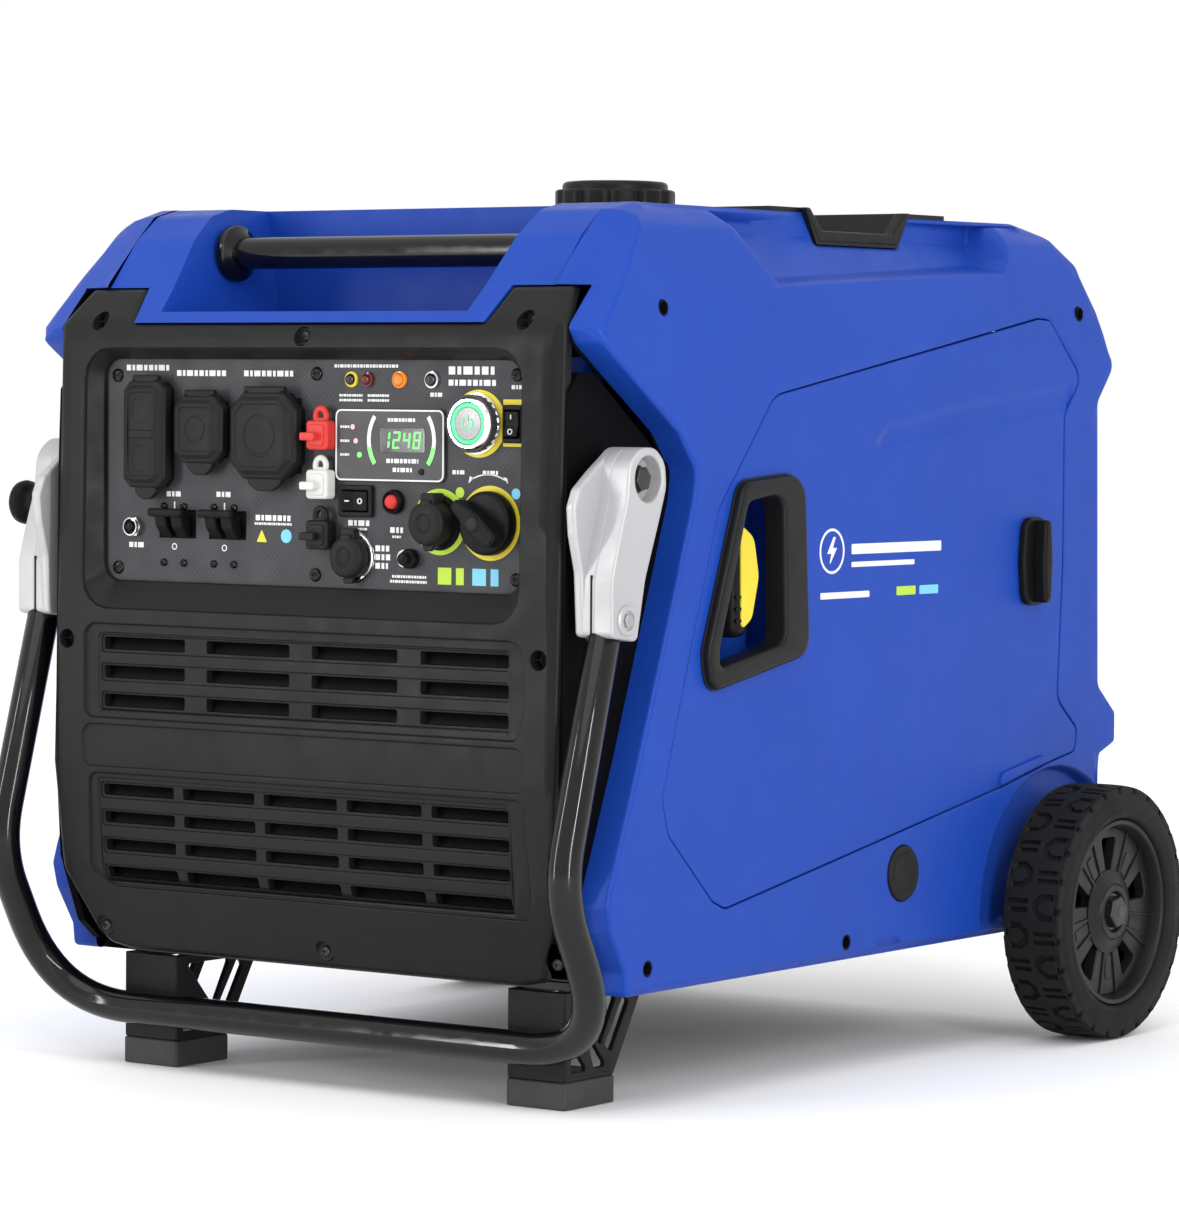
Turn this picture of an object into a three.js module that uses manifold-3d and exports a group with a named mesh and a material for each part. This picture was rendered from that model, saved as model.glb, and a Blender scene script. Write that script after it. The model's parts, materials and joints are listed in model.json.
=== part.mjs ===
// A closed-frame portable inverter generator on two wheels, in millimetres, +Z up.
// The front (control panel) faces -Y and the right side faces +X. While the pieces are built, y is measured
// back from the front feet; the finished group is moved so that its origin is on the ground, under the
// middle of the overall box.
import * as THREE from "three";
import { mergeVertices } from "three/addons/utils/BufferGeometryUtils.js";
import Module from "manifold-3d";

const wasm = await Module();
wasm.setup();

// ---------------------------------------------------------------- driving dimensions
const LENGTH_CENTRE = 314.75; // from the front feet to the middle of the overall length
const HALF_WIDTH = 270; // outside of the side shells
const FASCIA_HALF = 243; // half width of the front fascia and the rear panel
const SEAM_HALF = 216; // where the top covers meet the side shells
const FLOOR_Z = 88; // underside of the housing
const TOP_Z = 672; // top of the covers
const WALL = 4; // thickness of moulded walls
const GAP = 0.5; // gap between neighbouring pieces
const SIDE_INNER = 246.2; // the side shells' inner edge beside the fascia
const EAR_TOP_Z = 608.5; // top of the fascia's two ears
const COVER_LOW_Z = 581; // lower edge of the front cover

const WHEEL_R = 104.8;
const WHEEL_Y = 615.6;
const WHEEL_OUT = 336; // outer face of the tyre
const TYRE_WIDTH = 55;
const RIM_R = 77;
const AXLE_R = 8;
const SPOKES = 5;

const FOOT_OUT = 215.6; // outer side of a front foot
const FOOT_WIDTH = 55;
const FOOT_DEPTH = 64;
const PAD_HEIGHT = 21;

const PIVOT = { y: 0, z: 468 }; // tow handle's pivot
const TUBE_R = 12.7;
const LEG_X = 271; // centre plane of the tow handle's legs
const LEG_TOP = [-15, 415];
const LEG_KNEE = [-84.5, 172];
const LEG_FOOT = [-20, 47];

const BAR = { y: 55, z: 637, r: 12.5 }; // grab bar across the front cover
const CAP = { y: 358, r: 49, base: 677, top: 702 }; // fuel cap
const PLATE_Y = -34; // front face of the control plate
const OPENING = { half: 204, low: 383, high: 553 }; // control opening in the fascia

// Side view of a side shell, as (y, z): front edge, shoulder, top, stepped rear edge.
const SIDE_OUTLINE = [
  [1, FLOOR_Z], [-1, 106], [-20, 137], [-25, 156], [-20, 171], [16, 262], [66, 401], [84, 452],
  [87, 473], [64, 501], [-34, 566], [-44, COVER_LOW_Z], [-18, EAR_TOP_Z], [14, 647], [38, 666],
  [62, TOP_Z], [600, TOP_Z], [632, 662], [662, 639], [707, 554], [681, 524], [687, 287],
  [716, 263], [716, 237], [690, 228], [690, FLOOR_Z],
];
// Side view of the sloping recess along a side shell's upper edge.
const CHAMFER_ZONE = [[133, 690], [205, 612], [540, 629], [552, 640], [566, 690]];
// Side view of the front fascia's outer face, from the bottom up to the top of the ears.
const FRONT_LINE = [
  [-20, 93], [-29, 110], [-48, 160], [-54, 250], [-54, 340], [-50, 565], [-44, COVER_LOW_Z],
  [-18, EAR_TOP_Z],
];
// Side view of the front cover's outer face.
const COVER_LINE = [
  [-44, COVER_LOW_Z], [-18, EAR_TOP_Z], [14, 647], [38, 666], [62, TOP_Z], [262, TOP_Z],
];
// Side view of the rear cover's outer face.
const REAR_LINE = [
  [520, TOP_Z], [600, TOP_Z], [632, 662], [662, 639], [690, 586],
];
// Side view of the service door and of its window.
const DOOR_OUTLINE = [
  [190, 529], [583, 593], [600, 592], [652, 545], [625, 515], [625, 394], [618, 278], [651, 252],
  [648, 233], [606, 226], [529, 210], [129, 143], [112, 150], [53, 204], [45, 231], [71, 311],
  [117, 444],
];
const WINDOW_OUTER = [
  [138, 459], [149, 466], [205, 469], [221, 461], [227, 448], [231, 340], [221, 330], [207, 325],
  [122, 311], [105, 316], [95, 332], [95, 343],
];
const WINDOW_INNER = [
  [146, 446], [183, 453], [192, 443], [196, 343], [118, 328], [111, 338],
];

// ---------------------------------------------------------------- materials
function paint(color, roughness, metalness = 0) {
  return new THREE.MeshStandardMaterial({ color, roughness, metalness });
}
const BLUE = paint(0x2848b4, 0.42);
const BLACK = paint(0x2a2a2b, 0.55);
const GLOSS_BLACK = paint(0x101011, 0.25);
const DARK = paint(0x1b1b1c, 0.6);
const RUBBER = paint(0x222222, 0.85);
const CAST = paint(0xc9cacc, 0.45, 0.8);
const STEEL = paint(0x9a9ca0, 0.35, 0.9);
const PANEL = paint(0x3a3c40, 0.5);
const RED = paint(0xd8302c, 0.4);
const WHITE = paint(0xe8e8e6, 0.5);
const GREEN = paint(0x0b5a34, 0.3);
const ENGINE = paint(0x8c8f92, 0.5, 0.7);

// ---------------------------------------------------------------- solids: joining and cutting
function toSolid(geometry, weld = 1e-4) {
  const bare = geometry.index ? geometry.toNonIndexed() : geometry.clone();
  bare.deleteAttribute("normal");
  bare.deleteAttribute("uv");
  const merged = mergeVertices(bare, 1e-4);
  const corners = merged.index.array.map(weldedIndex(merged.attributes.position, weld));
  const kept = [];
  for (let i = 0; i < corners.length; i += 3) {
    const [a, b, c] = [corners[i], corners[i + 1], corners[i + 2]];
    if (a !== b && b !== c && c !== a) kept.push(a, b, c);
  }
  return new wasm.Manifold(
    new wasm.Mesh({
      numProp: 3,
      vertProperties: new Float32Array(merged.attributes.position.array),
      triVerts: new Uint32Array(kept),
    }),
  );
}

// A lookup that sends each vertex to the first vertex within a small distance of it.
function weldedIndex(positions, distance) {
  const points = Array.from({ length: positions.count }, (_, i) => (
    new THREE.Vector3().fromBufferAttribute(positions, i)
  ));
  const first = points.map((point) => points.findIndex((other) => other.distanceTo(point) < distance));
  return (i) => first[i];
}

function toGeometry(solid) {
  const mesh = solid.getMesh();
  return new THREE.BufferGeometry()
    .setAttribute("position", new THREE.BufferAttribute(mesh.vertProperties, 3))
    .setIndex(new THREE.BufferAttribute(mesh.triVerts, 1));
}

function join(first, ...others) {
  return toGeometry(others.reduce((sum, other) => sum.add(toSolid(other)), toSolid(first)));
}

function cut(first, ...others) {
  return toGeometry(others.reduce((rest, other) => rest.subtract(toSolid(other)), toSolid(first)));
}

function common(first, second) {
  return toGeometry(toSolid(first).intersect(toSolid(second)));
}

function flipped(geometry) {
  const turned = geometry.index ? geometry.toNonIndexed() : geometry;
  const positions = turned.attributes.position;
  for (let i = 0; i < positions.count; i += 3) {
    const second = new THREE.Vector3().fromBufferAttribute(positions, i + 1);
    const third = new THREE.Vector3().fromBufferAttribute(positions, i + 2);
    positions.setXYZ(i + 1, third.x, third.y, third.z);
    positions.setXYZ(i + 2, second.x, second.y, second.z);
  }
  return turned;
}

// The same piece on the other side of the machine.
function mirrored(geometry) {
  return flipped(geometry.clone().scale(-1, 1, 1));
}

// ---------------------------------------------------------------- basic forms
function outlineShape(points) {
  return new THREE.Shape(points.map(([a, b]) => new THREE.Vector2(a, b)));
}

function extruded(shape, depth, segments = 10) {
  const options = { depth, bevelEnabled: false, curveSegments: segments };
  return new THREE.ExtrudeGeometry(shape, options);
}

// A (y, z) outline pushed along X.
function alongX(points, x0, x1) {
  const basis = new THREE.Matrix4().makeBasis(
    new THREE.Vector3(0, 1, 0), new THREE.Vector3(0, 0, 1), new THREE.Vector3(1, 0, 0),
  );
  const shape = Array.isArray(points) ? outlineShape(points) : points;
  return extruded(shape, x1 - x0).applyMatrix4(basis).translate(x0, 0, 0);
}

// An (x, z) outline pushed along Y.
function alongY(points, y0, y1) {
  const basis = new THREE.Matrix4().makeBasis(
    new THREE.Vector3(1, 0, 0), new THREE.Vector3(0, 0, 1), new THREE.Vector3(0, -1, 0),
  );
  const shape = Array.isArray(points) ? outlineShape(points) : points;
  return extruded(shape, y1 - y0).applyMatrix4(basis).translate(0, y1, 0);
}

// An (x, y) outline pushed along Z.
function alongZ(points, z0, z1) {
  const shape = Array.isArray(points) ? outlineShape(points) : points;
  return extruded(shape, z1 - z0).translate(0, 0, z0);
}

function box(x0, x1, y0, y1, z0, z1) {
  return new THREE.BoxGeometry(x1 - x0, y1 - y0, z1 - z0)
    .translate((x0 + x1) / 2, (y0 + y1) / 2, (z0 + z1) / 2);
}

function rodX(y, z, radius, x0, x1, sides = 20) {
  return new THREE.CylinderGeometry(radius, radius, x1 - x0, sides)
    .rotateZ(-Math.PI / 2).translate((x0 + x1) / 2, y, z);
}

function rodY(x, z, radius, y0, y1, sides = 20) {
  return new THREE.CylinderGeometry(radius, radius, y1 - y0, sides)
    .translate(x, (y0 + y1) / 2, z);
}

function rodZ(x, y, radius, z0, z1, sides = 20) {
  return new THREE.CylinderGeometry(radius, radius, z1 - z0, sides)
    .rotateX(Math.PI / 2).translate(x, y, (z0 + z1) / 2);
}

// A closed profile of (radius, height) points turned round the X axis at (y, z); height runs along +X.
function turnedX(profile, y, z, sides) {
  const points = [...profile, profile[0]].map(([r, h]) => new THREE.Vector2(r, h));
  const lathe = new THREE.LatheGeometry(points, sides);
  const facing = toSolid(lathe).volume() < 0 ? flipped(lathe) : lathe;
  return facing.rotateZ(-Math.PI / 2).translate(0, y, z);
}

// A closed outline moved inwards by a distance, with sharp corners kept.
function inset(points, distance) {
  const count = points.length;
  const area = points.reduce((sum, [ax, ay], i) => {
    const [bx, by] = points[(i + 1) % count];
    return sum + ax * by - bx * ay;
  }, 0);
  const side = Math.sign(area) * distance;
  const normalOf = ([ax, ay], [bx, by]) => {
    const length = Math.hypot(bx - ax, by - ay);
    return [-(by - ay) / length, (bx - ax) / length];
  };
  return points.map((point, i) => {
    const [nx, ny] = normalOf(points[(i + count - 1) % count], point);
    const [mx, my] = normalOf(point, points[(i + 1) % count]);
    const scale = side / (1 + nx * mx + ny * my);
    return [point[0] + (nx + mx) * scale, point[1] + (ny + my) * scale];
  });
}

// A strip of even thickness on one side of an open line; a positive thickness lies to the line's right.
function strip(line, thickness) {
  const normalAt = (i) => {
    const [ax, ay] = line[i];
    const [bx, by] = line[i + 1];
    const length = Math.hypot(bx - ax, by - ay);
    return [(by - ay) / length, -(bx - ax) / length];
  };
  const last = line.length - 1;
  const far = line.map(([a, b], i) => {
    const [nx, ny] = normalAt(Math.max(i - 1, 0));
    const [mx, my] = normalAt(Math.min(i, last - 1));
    const scale = thickness / (1 + nx * mx + ny * my);
    return [a + (nx + mx) * scale, b + (ny + my) * scale];
  });
  return [...line, ...far.reverse()];
}

// A large block whose face passes through a point and which fills the side its normal points to.
function beyond(point, normal) {
  const size = 2000;
  const direction = new THREE.Vector3(...normal).normalize();
  const turn = new THREE.Quaternion().setFromUnitVectors(new THREE.Vector3(0, 0, 1), direction);
  return new THREE.BoxGeometry(size, size, size).translate(0, 0, size / 2)
    .applyQuaternion(turn).translate(...point);
}

// A rectangle with cut corners, centred on a point.
function cutRectangle(x, z, width, height, corner) {
  const [a, b] = [width / 2, height / 2];
  return [
    [x - a + corner, z - b], [x + a - corner, z - b], [x + a, z - b + corner], [x + a, z + b - corner],
    [x + a - corner, z + b], [x - a + corner, z + b], [x - a, z + b - corner], [x - a, z - b + corner],
  ];
}

// ---------------------------------------------------------------- the assembly
const generator = new THREE.Group();

function place(name, geometry, material) {
  const mesh = new THREE.Mesh(toGeometry(toSolid(geometry, 0.02)), material);
  mesh.name = name;
  mesh.position.y = -LENGTH_CENTRE;
  generator.add(mesh);
}

function placePair(name, rightGeometry, material) {
  place(`${name}_right`, rightGeometry, material);
  place(`${name}_left`, mirrored(rightGeometry), material);
}

// ---------------------------------------------------------------- side shells
// The outer form of the right side, or the same form one wall thickness further in.
function sideForm(thickness) {
  const shift = (point, normal) => {
    const length = Math.hypot(...normal);
    return point.map((value, i) => value - (thickness * normal[i]) / length);
  };
  const facet = (point, normal) => beyond(shift(point, normal), normal);
  const inner = thickness > 0 ? 20 : 0;
  const block = alongX(inset(SIDE_OUTLINE, thickness), SEAM_HALF + GAP - inner, HALF_WIDTH - thickness);
  const chamferZone = alongX(inset(CHAMFER_ZONE, -thickness), 190, 300);
  return cut(
    block,
    facet([228, -44, COVER_LOW_Z], [12, -40, 38.5]),
    facet([HALF_WIDTH, 0, 592], [66, 0, 18]),
    facet([252, 0, 656], [16, 0, 20]),
    common(chamferZone, facet([202, 0, TOP_Z], [60, 0, 48])),
    rodX(WHEEL_Y, WHEEL_R, 118 + thickness, 258 - thickness, 300, 40),
  );
}

function sideShell() {
  const shell = cut(
    sideForm(0),
    sideForm(WALL),
    box(0, SIDE_INNER, -100, 800, 0, 562),
    box(0, FASCIA_HALF + GAP, -100, 800, 561, EAR_TOP_Z + GAP),
    rodX(WHEEL_Y, WHEEL_R, AXLE_R + GAP, 200, 300),
  );
  return cut(shell, traySpace(GAP));
}

const SCREW_HOLES = [[44, 593], [650, 598], [28, 107], [298, 103]];
const PLUG = { y: 379, z: 151, r: 22 };

function drilledSideShell() {
  const holes = SCREW_HOLES.map(([y, z]) => rodX(y, z, 5, 240, 300, 12));
  return cut(sideShell(), ...holes);
}

function buildSideShells() {
  const plain = drilledSideShell();
  const plugHole = rodX(PLUG.y, PLUG.z, PLUG.r + GAP, 255, 300, 24);
  place("side_shell_right", cut(plain, alongX(DOOR_OUTLINE, 255, 300), plugHole), BLUE);
  place("side_shell_left", mirrored(plain), BLUE);
}

// ---------------------------------------------------------------- service door, window and latch
const LATCH = { y: 572, z: 394, height: 76, width: 40 };

function buildDoor() {
  const stem = rodX(LATCH.y, LATCH.z, 7, 240, 300, 16);
  const sheet = alongX(inset(DOOR_OUTLINE, GAP), HALF_WIDTH - WALL, HALF_WIDTH);
  const opening = alongX(inset(WINDOW_OUTER, -GAP), 240, 300);
  place("service_door", cut(sheet, opening, stem), BLUE);
  const ring = cut(alongX(WINDOW_OUTER, 258, 274), alongX(WINDOW_INNER, 250, 280));
  place("window_frame", ring, BLACK);
}

function buildLatch() {
  const grip = alongX(cutRectangle(LATCH.y, LATCH.z, LATCH.width, LATCH.height, 12), 270.5, 276);
  const bar = alongX(cutRectangle(LATCH.y, LATCH.z, 14, LATCH.height - 6, 5), 275, 288);
  const stem = rodX(LATCH.y, LATCH.z, 6, 252, 272, 16);
  place("latch_knob", join(grip, bar, stem), BLACK);
}

function buildPlug() {
  const disc = rodX(PLUG.y, PLUG.z, PLUG.r, 264, 272, 24);
  place("side_plug", disc, RUBBER);
}

// ---------------------------------------------------------------- recoil starter behind the window
const GRIP = { y: 155, z: 386 };

function buildRecoil() {
  const rim = alongX(inset(WINDOW_OUTER, 3), 224, 257);
  const hollow = alongX(inset(WINDOW_OUTER, 7), 228, 260);
  const ropeHole = rodX(GRIP.y, GRIP.z, 12, 210, 240, 16);
  place("recoil_pocket", cut(rim, hollow, ropeHole), BLUE);
  const handle = join(
    alongX(cutRectangle(GRIP.y, GRIP.z, 24, 82, 8), 244, 264),
    rodX(GRIP.y, GRIP.z, 9, 216, 246, 16),
  );
  place("recoil_grip", handle, DARK);
  const housing = join(rodY(80, 330, 92, 118, 160, 32), rodX(GRIP.y, GRIP.z, 12, 150, 214, 16));
  place("recoil_starter", housing, DARK);
}

// ---------------------------------------------------------------- covers and trays
// The pocket that the grab bar crosses, grown by a margin.
function pocketForm(margin) {
  const low = 590 - margin;
  const outline = [
    [-148 - margin, low], [148 + margin, low], [163 + margin, 690], [-163 - margin, 690],
  ];
  return alongY(outline, -70, 108 + margin);
}

function earSpace(margin) {
  const outline = [
    [169 - margin, 560], [169 - margin, COVER_LOW_Z], [176 - margin, EAR_TOP_Z + margin],
    [280, EAR_TOP_Z + margin], [280, 560],
  ];
  const right = alongY(outline, -80, 60);
  return join(right, mirrored(right));
}

function buildFrontCover() {
  const half = SEAM_HALF - GAP;
  const skin = alongX(strip(COVER_LINE, WALL), -half, half);
  const body = alongX([...COVER_LINE, [262, 560], [-44, 560]], -half, half);
  const pocket = common(pocketForm(WALL), body);
  const barHoles = rodX(BAR.y, BAR.z, BAR.r + GAP, -200, 200, 24);
  const cover = cut(join(skin, pocket), pocketForm(0), earSpace(GAP), barHoles);
  const below = box(-300, 300, -100, 300, 500, COVER_LOW_Z + GAP);
  place("front_cover", cut(cover, below), BLUE);
}

function buildGrabBar() {
  const bar = rodX(BAR.y, BAR.z, BAR.r, -172, 172, 20);
  const flange = (x) => rodX(BAR.y, BAR.z, 22, x, x + 5, 24);
  place("grab_bar", join(bar, flange(-150.5), flange(145.5)), GLOSS_BLACK);
}

// The volume that the black tray fills: its sheet, and the two scoops that fold over the top edges.
const TRAY = { front: 263, back: 519, half: SEAM_HALF - GAP, top: 676 };

function scoopOutline(margin) {
  return [
    [300 - margin, TRAY.top + 9], [322 - margin, 650 - margin], [435 + margin, 650 - margin],
    [459 + margin, TRAY.top + 9],
  ];
}

function traySpace(margin) {
  const right = alongX(scoopOutline(margin + 3), 130, 400);
  return join(right, box(0, TRAY.half + margin, TRAY.front - margin, TRAY.back + margin, 660, 690));
}

function buildTopTray() {
  const sheet = box(-TRAY.half, TRAY.half, TRAY.front, TRAY.back, TRAY.top - 5, TRAY.top);
  const scoopBody = common(alongX(scoopOutline(2.5), 126, 222), box(0, 300, 0, 800, 600, TRAY.top));
  const scoopSpace = alongX(scoopOutline(-1), 130, 400);
  const filler = rodZ(0, CAP.y, 36, 600, 700, 24);
  const tray = cut(join(sheet, scoopBody, mirrored(scoopBody)), scoopSpace, mirrored(scoopSpace), filler);
  place("top_tray", tray, BLACK);
}

function buildRearCover() {
  const half = SEAM_HALF - GAP;
  place("rear_cover", alongX(strip(REAR_LINE, WALL), -half, half), BLUE);
}

function buildRearPanel() {
  const half = SIDE_INNER - 4;
  const outline = [
    [-half, 95], [half, 95], [half, 584], [-half, 584],
  ];
  const sheet = alongY(outline, 680, 684);
  const louvres = [];
  for (let row = 0; row < 7; row += 1) {
    const z = 150 + row * 26;
    louvres.push(box(-190, -10, 670, 700, z, z + 10), box(10, 190, 670, 700, z, z + 10));
  }
  const outlet = rodY(-110, 450, 42, 670, 700, 24);
  place("rear_panel", cut(sheet, ...louvres, outlet), BLACK);
}

function buildBase() {
  const sheet = box(-242, 242, 6, 678, FLOOR_Z + GAP, FLOOR_Z + 6);
  const rail = box(150, 225, 10, 674, FLOOR_Z + 5, FLOOR_Z + 8);
  place("base_tray", join(sheet, rail, mirrored(rail)), DARK);
}

// ---------------------------------------------------------------- front fascia
const GRILLES = [
  { rows: 3, columns: 4, top: 338.5, pitch: 22.2, height: 9.6, left: -194, right: 197, space: 22 },
  { rows: 4, columns: 5, top: 224, pitch: 21.6, height: 8.6, left: -196, right: 196, space: 9.5 },
];

function grilleSlots({ rows, columns, top, pitch, height, left, right, space }) {
  const width = (right - left - space * (columns - 1)) / columns;
  const slots = [];
  for (let row = 0; row < rows; row += 1) {
    for (let column = 0; column < columns; column += 1) {
      const x = left + column * (width + space);
      const z = top - row * pitch;
      slots.push(box(x, x + width, -80, 0, z - height, z));
    }
  }
  return slots;
}

function buildFascia() {
  const half = FASCIA_HALF;
  const side = [
    [191, 93], [212, 97], [238, 154], [half, 240], [half, COVER_LOW_Z], [231, EAR_TOP_Z],
    [176, EAR_TOP_Z], [169, COVER_LOW_Z],
  ];
  const frontView = [...side, ...side.map(([x, z]) => [-x, z]).reverse()];
  const skin = common(alongX(strip(FRONT_LINE, WALL + 1), -half, half), alongY(frontView, -80, 60));
  const { half: open, low, high } = OPENING;
  const rim = box(-open - 4, open + 4, -49, PLATE_Y - GAP, low - 4, high + 4);
  const slots = GRILLES.flatMap(grilleSlots);
  const opening = box(-open, open, -80, 0, low, high);
  place("front_fascia", cut(join(skin, rim), opening, ...slots), BLACK);
}

// Two cheeks beside the fascia, joined by a bulkhead; the tow handle's pivots are fixed to the cheeks.
function buildFrontFrame() {
  const cheekLine = [
    [-2, 97], [95, 97], [95, 470], [64, 490], [-12, 545], [-30, 545], [-42, 530], [-44, 480], [-47, 250],
    [-41, 165], [-20, 112],
  ];
  const cheek = alongX(cheekLine, 238.5, 245.6);
  const bulkhead = box(-240, 240, 88, 92, 97, 470);
  const holes = rodX(PIVOT.y, PIVOT.z, 6.5, -300, 300, 16);
  place("front_frame", cut(join(cheek, mirrored(cheek), bulkhead), holes), GLOSS_BLACK);
}

// ---------------------------------------------------------------- control panel
const OUTLETS = [
  { name: "duplex", x: -155.7, z: 495.8, width: 42.5, height: 82.5, corner: 6 },
  { name: "locking", x: -101.5, z: 500, width: 49, height: 52, corner: 10 },
  { name: "range", x: -37.5, z: 496, width: 65, height: 66, corner: 12 },
];
const START = { x: 157, z: 507, r: 15.5 };
const RESET = { x: 80, z: 448, r: 5.5 };
const PUSH_BREAKER = { x: -175, z: 424, r: 6 };
const DIAL = { x: 170, z: 434, r: 21 };
const ROUND_PORTS = [
  { name: "charge_port_cap", x: 122, z: 433, r: 16, front: -54 },
  { name: "signal_port_cap", x: 42, z: 406, r: 15.5, front: -48 },
];
const PARALLEL_CAPS = [
  { name: "parallel_cap_red", z: 498, material: RED },
  { name: "parallel_cap_white", z: 461, material: WHITE },
  { name: "parallel_cap_black", z: 423, material: BLACK },
];
const PARALLEL_X = 14;
const TOGGLES = [
  { name: "breaker_toggle_30", x: -132 },
  { name: "breaker_toggle_50", x: -82 },
];
const TOGGLE_Z = 427;
const DISPLAY = { x: 75.5, z: 489.5, width: 101, height: 53 };
const BATTERY_SWITCH = { x: 190.5, z: 507 };
const ECO_SWITCH = { x: 44.5, z: 448 };

function buildControlPlate() {
  const sheet = box(-211, 211, PLATE_Y, PLATE_Y + 3, 377, 559);
  const through = (x, z, width, height) => (
    box(x - width / 2, x + width / 2, -60, 0, z - height / 2, z + height / 2)
  );
  const holes = [
    ...OUTLETS.map(({ x, z, width, height }) => through(x, z, width - 9, height - 9)),
    ...TOGGLES.map(({ x }) => through(x, TOGGLE_Z, 37, 22)),
    ...PARALLEL_CAPS.map(({ z }) => rodY(PARALLEL_X, z, 8, -60, 0, 16)),
    ...ROUND_PORTS.map(({ x, z }) => rodY(x, z, 11, -60, 0, 16)),
    through(DISPLAY.x, DISPLAY.z, DISPLAY.width - 10, DISPLAY.height - 8),
    through(BATTERY_SWITCH.x, BATTERY_SWITCH.z, 15, 22.5),
    through(ECO_SWITCH.x, ECO_SWITCH.z, 26, 17),
    rodY(START.x, START.z, START.r + 0.7, -60, 0, 24),
    rodY(RESET.x, RESET.z, RESET.r + 0.7, -60, 0, 12),
    rodY(PUSH_BREAKER.x, PUSH_BREAKER.z, PUSH_BREAKER.r + 0.7, -60, 0, 12),
    rodY(DIAL.x, DIAL.z, 6, -60, 0, 12),
  ];
  const collar = rodY(START.x, START.z, START.r + 6, PLATE_Y - 11, PLATE_Y + 1, 24);
  place("control_plate", cut(join(sheet, collar), ...holes), PANEL);
}

const LID_BACK = -40.3; // back face of a closed outlet lid
const LID_FRONT = -52;

function buildOutlets() {
  for (const { name, x, z, width, height, corner } of OUTLETS) {
    const flange = alongY(cutRectangle(x, z, width - 2, height - 2, corner), LID_BACK + GAP, PLATE_Y - GAP);
    const neck = box(
      x - width / 2 + 5, x + width / 2 - 5, PLATE_Y - 1, -6, z - height / 2 + 5, z + height / 2 - 5,
    );
    place(`outlet_${name}`, join(flange, neck), DARK);
    const lid = alongY(cutRectangle(x, z, width, height, corner), LID_FRONT, LID_BACK);
    const tab = box(x - 9, x + 9, LID_BACK - 5, LID_BACK, z - height / 2 - 5, z - height / 2 + 2);
    place(`lid_${name}`, join(lid, tab), RUBBER);
  }
}

function buildCaps() {
  for (const { name, z, material } of PARALLEL_CAPS) {
    const block = box(PARALLEL_X - 10.5, PARALLEL_X + 10.5, PLATE_Y - 12, PLATE_Y - GAP, z - 12, z + 10);
    const loop = box(PARALLEL_X - 5, PARALLEL_X + 5, PLATE_Y - 8, PLATE_Y - 4, z + 9, z + 20);
    const plug = rodY(PARALLEL_X, z, 7, PLATE_Y - 1, PLATE_Y + 14, 16);
    const nib = box(PARALLEL_X - 4, PARALLEL_X + 4, PLATE_Y - 19, PLATE_Y - 11, z - 3, z + 3);
    place(name, join(block, loop, plug, nib), material);
  }
  for (const { name, x, z, r, front } of ROUND_PORTS) {
    const disc = rodY(x, z, r, front, PLATE_Y - GAP, 24);
    const knuckle = box(x - 6, x + 6, PLATE_Y - 8, PLATE_Y - GAP, z + r - 2, z + r + 5);
    place(name, join(disc, knuckle), RUBBER);
  }
}

function buildSwitches() {
  place("start_button", rodY(START.x, START.z, START.r, PLATE_Y - 12, PLATE_Y + 14, 24), GREEN);
  place("reset_button", rodY(RESET.x, RESET.z, RESET.r, PLATE_Y - 7, PLATE_Y + 10, 12), RED);
  const breaker = rodY(PUSH_BREAKER.x, PUSH_BREAKER.z, PUSH_BREAKER.r, PLATE_Y - 9, PLATE_Y + 12, 12);
  place("push_breaker", breaker, WHITE);
  for (const { name, x } of TOGGLES) {
    const outline = [
      [PLATE_Y + 8, TOGGLE_Z - 7], [PLATE_Y + 8, TOGGLE_Z + 7], [PLATE_Y - 2, TOGGLE_Z + 9],
      [PLATE_Y - 14, TOGGLE_Z + 8], [PLATE_Y - 14, TOGGLE_Z + 1], [PLATE_Y - 2, TOGGLE_Z - 7],
    ];
    place(name, alongX(outline, x - 17, x + 17), BLACK);
  }
  const rockerForm = (width, height) => (
    box(-width / 2, width / 2, PLATE_Y - 4, PLATE_Y + 6, -height / 2, height / 2)
  );
  place("battery_switch", rockerForm(12.5, 19).translate(BATTERY_SWITCH.x, 0, BATTERY_SWITCH.z), BLACK);
  place("eco_switch", rockerForm(23, 14.5).translate(ECO_SWITCH.x, 0, ECO_SWITCH.z), BLACK);
}

function buildDialAndDisplay() {
  const disc = rodY(DIAL.x, DIAL.z, DIAL.r, PLATE_Y - 10, PLATE_Y - GAP, 28);
  const lever = box(-7, 7, PLATE_Y - 24, PLATE_Y - 9, -24, 24)
    .rotateY(-0.9).translate(DIAL.x, 0, DIAL.z);
  const shaft = rodY(DIAL.x, DIAL.z, 5, PLATE_Y - 1, PLATE_Y + 16, 12);
  place("fuel_dial", join(disc, lever, shaft), DARK);
  const { x, z, width, height } = DISPLAY;
  const face = box(x - width / 2, x + width / 2, PLATE_Y - 2, PLATE_Y - GAP, z - height / 2, z + height / 2);
  const back = box(
    x - width / 2 + 6, x + width / 2 - 6, PLATE_Y - 1, PLATE_Y + 20, z - height / 2 + 5, z + height / 2 - 5,
  );
  place("display_module", join(face, back), GLOSS_BLACK);
}

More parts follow.
